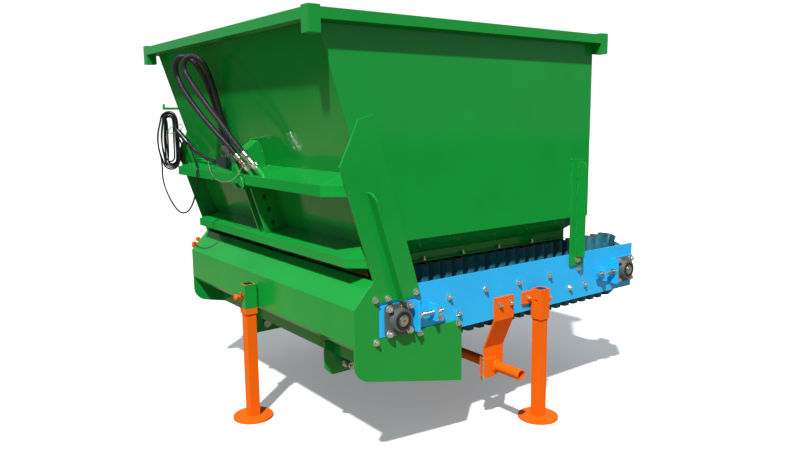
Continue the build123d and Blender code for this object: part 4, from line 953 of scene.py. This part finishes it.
def weld_along(name, runs, half):
    """Overlapping drops along runs: (first, last, way out, stitch, gap); a stitch of 0 is a whole weld."""
    pattern = weld_drop(half)
    places = []
    for first, last, out, stitch, gap in runs:
        first, last, out = Vector(first), Vector(last), Vector(out)
        way, long = (last - first).normalized(), (last - first).length
        turn = Matrix((way.cross(out), way, out)).transposed().to_4x4()
        count = max(2, round(long / (2.1 * half)))
        for index in range(count + 1):
            along = long * index / count
            if not stitch or along % (stitch + gap) <= stitch:
                size = 1 + 0.12 * math.sin(index * 2.3)
                shape = Matrix.Diagonal((size, 1.25, size * 0.8, 1))
                places.append(Matrix.Translation(first + way * along) @ turn @ shape)
    piece = set_out(name, pattern, places)
    drop(pattern)
    return piece


def on_wall(x, z):
    """A point on the front wall's outer face, from millimetres."""
    return x * MM, wall_y(z * MM), z * MM


class SPREADER_OT_welds(bpy.types.Operator):
    """Run the welds along posts, beams and ribs"""
    bl_idname = "spreader.welds"
    bl_label = "Welds"

    def execute(self, context):
        runs = []
        post_low, post_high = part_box("rear_post_left")
        rib_y = middle("rear_post_left", 1)
        for side in (-1, 1):
            out = (side, 0, 0)
            for near in (-7 * MM, 7 * MM):          # both sides of the post's rib
                runs.append(((side * SIDE_X, rib_y + near, post_low[2] + 60 * MM),
                             (side * SIDE_X, rib_y + near, post_high[2] - 30 * MM), out, 55 * MM, 38 * MM))
            edge = post_low[1] - MM
            runs.append(((side * PLATE_X, edge, 960 * MM), (side * PLATE_X, edge, post_high[2]), out,
                         70 * MM, 60 * MM))
            for near in (-2 * MM, 11 * MM):         # both sides of the side plate's rib
                runs.append(((side * SIDE_X, wall_y(715 * MM) + near, 715 * MM),
                             (side * SIDE_X, wall_y(1110 * MM) + near, 1110 * MM), out, 0, 0))
        forward = Vector((0, -1, WALL_SLOPE)).normalized()
        plate, shelf = PLATE_X / MM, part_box("upper_beam")[1][2] / MM - 2
        for first, last in ((20 - plate, -60), (60, plate - 10)):
            runs.append((on_wall(first, shelf), on_wall(last, shelf), forward, 120 * MM, 50 * MM))
        lid_x, lid_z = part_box("mast_plates")[1][0] / MM + 2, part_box("mast_plates")[1][2] / MM + 8
        for side in (-1, 1):
            for low, high in ((930, 1120), (1230, 1310)):
                runs.append((on_wall(side * lid_x, low), on_wall(side * lid_x, high), forward, 0, 0))
        runs.append((on_wall(-40, lid_z), on_wall(130, lid_z + 18), forward, 34 * MM, 16 * MM))
        fit(weld_along("weld_beads", runs, context.scene.spreader_hardware.bead), "green_paint")
        return {"FINISHED"}


# -------- small brackets
def slab(name, size, place, lean=0.0, taper=None):
    """A flat bar with rounded edges, leaning in the XZ plane; taper draws in its upper end."""
    piece = block(name, size)
    if taper:
        mark(piece, faces=lambda spot, normal: normal.z > 0.9)
        bpy.ops.transform.resize(value=(taper, 1, 1))
        bpy.ops.transform.translate(value=(size[0] * (1 - taper) / 2, 0, 0))
    mark(piece, edges=lambda spot, way: abs(way.y) < 0.5)
    bpy.ops.mesh.bevel(offset=0.8 * MM, segments=2)
    return stand(settle(piece), Matrix.Translation(place) @ Matrix.Rotation(lean, 4, "Y"))


class SPREADER_OT_brackets(bpy.types.Operator):
    """The couplers' holder, the cable tie and the lamps beyond the far plate"""
    bl_idname = "spreader.brackets"
    bl_label = "Small brackets"

    def execute(self, context):
        arm_at, foot_at, bead_at = hung(((31, -8, 22), (62, -4, -22), (62, -7, -30)))
        lean = math.atan2(LEAN.x, LEAN.z)
        arm = slab("holder_arm", (46 * MM, 4 * MM, 190 * MM), arm_at, lean, 0.5)
        foot = slab("holder_foot", (46 * MM, 6 * MM, 30 * MM), foot_at)
        bead = turned("holder_bead", ((0, 6), (2, 6.5), (4, 4), (5, 1.5)), 12)
        stand(bead, facing(bead_at, (0, -1, 0)))
        fit(join("coupler_holder", arm, foot, bead), "green_paint")

        tie = start("cable_tie", "torus", major_radius=30 * MM, minor_radius=2.1 * MM, major_segments=32,
                    minor_segments=8)
        bpy.ops.object.mode_set(mode="EDIT")
        mark(tie, faces=lambda spot, normal: spot.x > 0)
        bpy.ops.transform.translate(value=(22 * MM, 0, 0))
        mark(tie, faces=lambda spot, normal: abs(spot.y) > 20 * MM)
        bpy.ops.transform.resize(value=(1, 0.86, 1), center_override=(0, 0, 0))
        settle(tie, 60)
        fit(stand(tie, facing(beside(((58, -8, 196),))[0], (0.45, -0.62, 0.62), 0.5), 60), "green_paint")

        cup = turned("cup_pattern", ((0, 13), (4, 16), (14, 17), (18, 15), (19, 10), (27, 9.4), (29, 6)), 20)
        fold_y, fold_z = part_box("hood")[0][1] + 24 * MM, 722 * MM
        spots = [facing((-SIDE_X, fold_y, fold_z), (-1, 0, 0), 0, 1.15),
                 facing((-SIDE_X, fold_y + 18 * MM, fold_z + 32 * MM), (-1, 0, 0), 0, 0.8)]
        fit(set_out("side_lamps", cup, spots), "orange_paint")
        drop(cup)
        return {"FINISHED"}


# -------- panel and steps
class SPREADER_PT_panel(bpy.types.Panel):
    """Steps that finish the spreader"""
    bl_label = "Belt spreader"
    bl_space_type = "VIEW_3D"
    bl_region_type = "UI"
    bl_category = "Spreader"

    def draw(self, context):
        for step in STEPS:
            self.layout.operator(step.bl_idname)


STEPS = (SPREADER_OT_stage, SPREADER_OT_paint, SPREADER_OT_hoses, SPREADER_OT_cables, SPREADER_OT_belt,
         SPREADER_OT_bolts, SPREADER_OT_skirts, SPREADER_OT_bearings, SPREADER_OT_pins, SPREADER_OT_welds,
         SPREADER_OT_brackets)
SETTINGS = {"spreader_paint": SpreaderPaint, "spreader_hardware": SpreaderHardware,
            "spreader_stage": SpreaderStage}
CLASSES = (*SETTINGS.values(), *STEPS, SPREADER_PT_panel)


def register():
    for item in CLASSES:
        bpy.utils.register_class(item)
    for name, item in SETTINGS.items():
        setattr(bpy.types.Scene, name, bpy.props.PointerProperty(type=item))


def unregister():
    for name in SETTINGS:
        delattr(bpy.types.Scene, name)
    for item in reversed(CLASSES):
        bpy.utils.unregister_class(item)


def main():
    register()
    for step in STEPS:
        family, name = step.bl_idname.split(".")
        getattr(getattr(bpy.ops, family), name)()


if __name__ == "__main__":
    main()
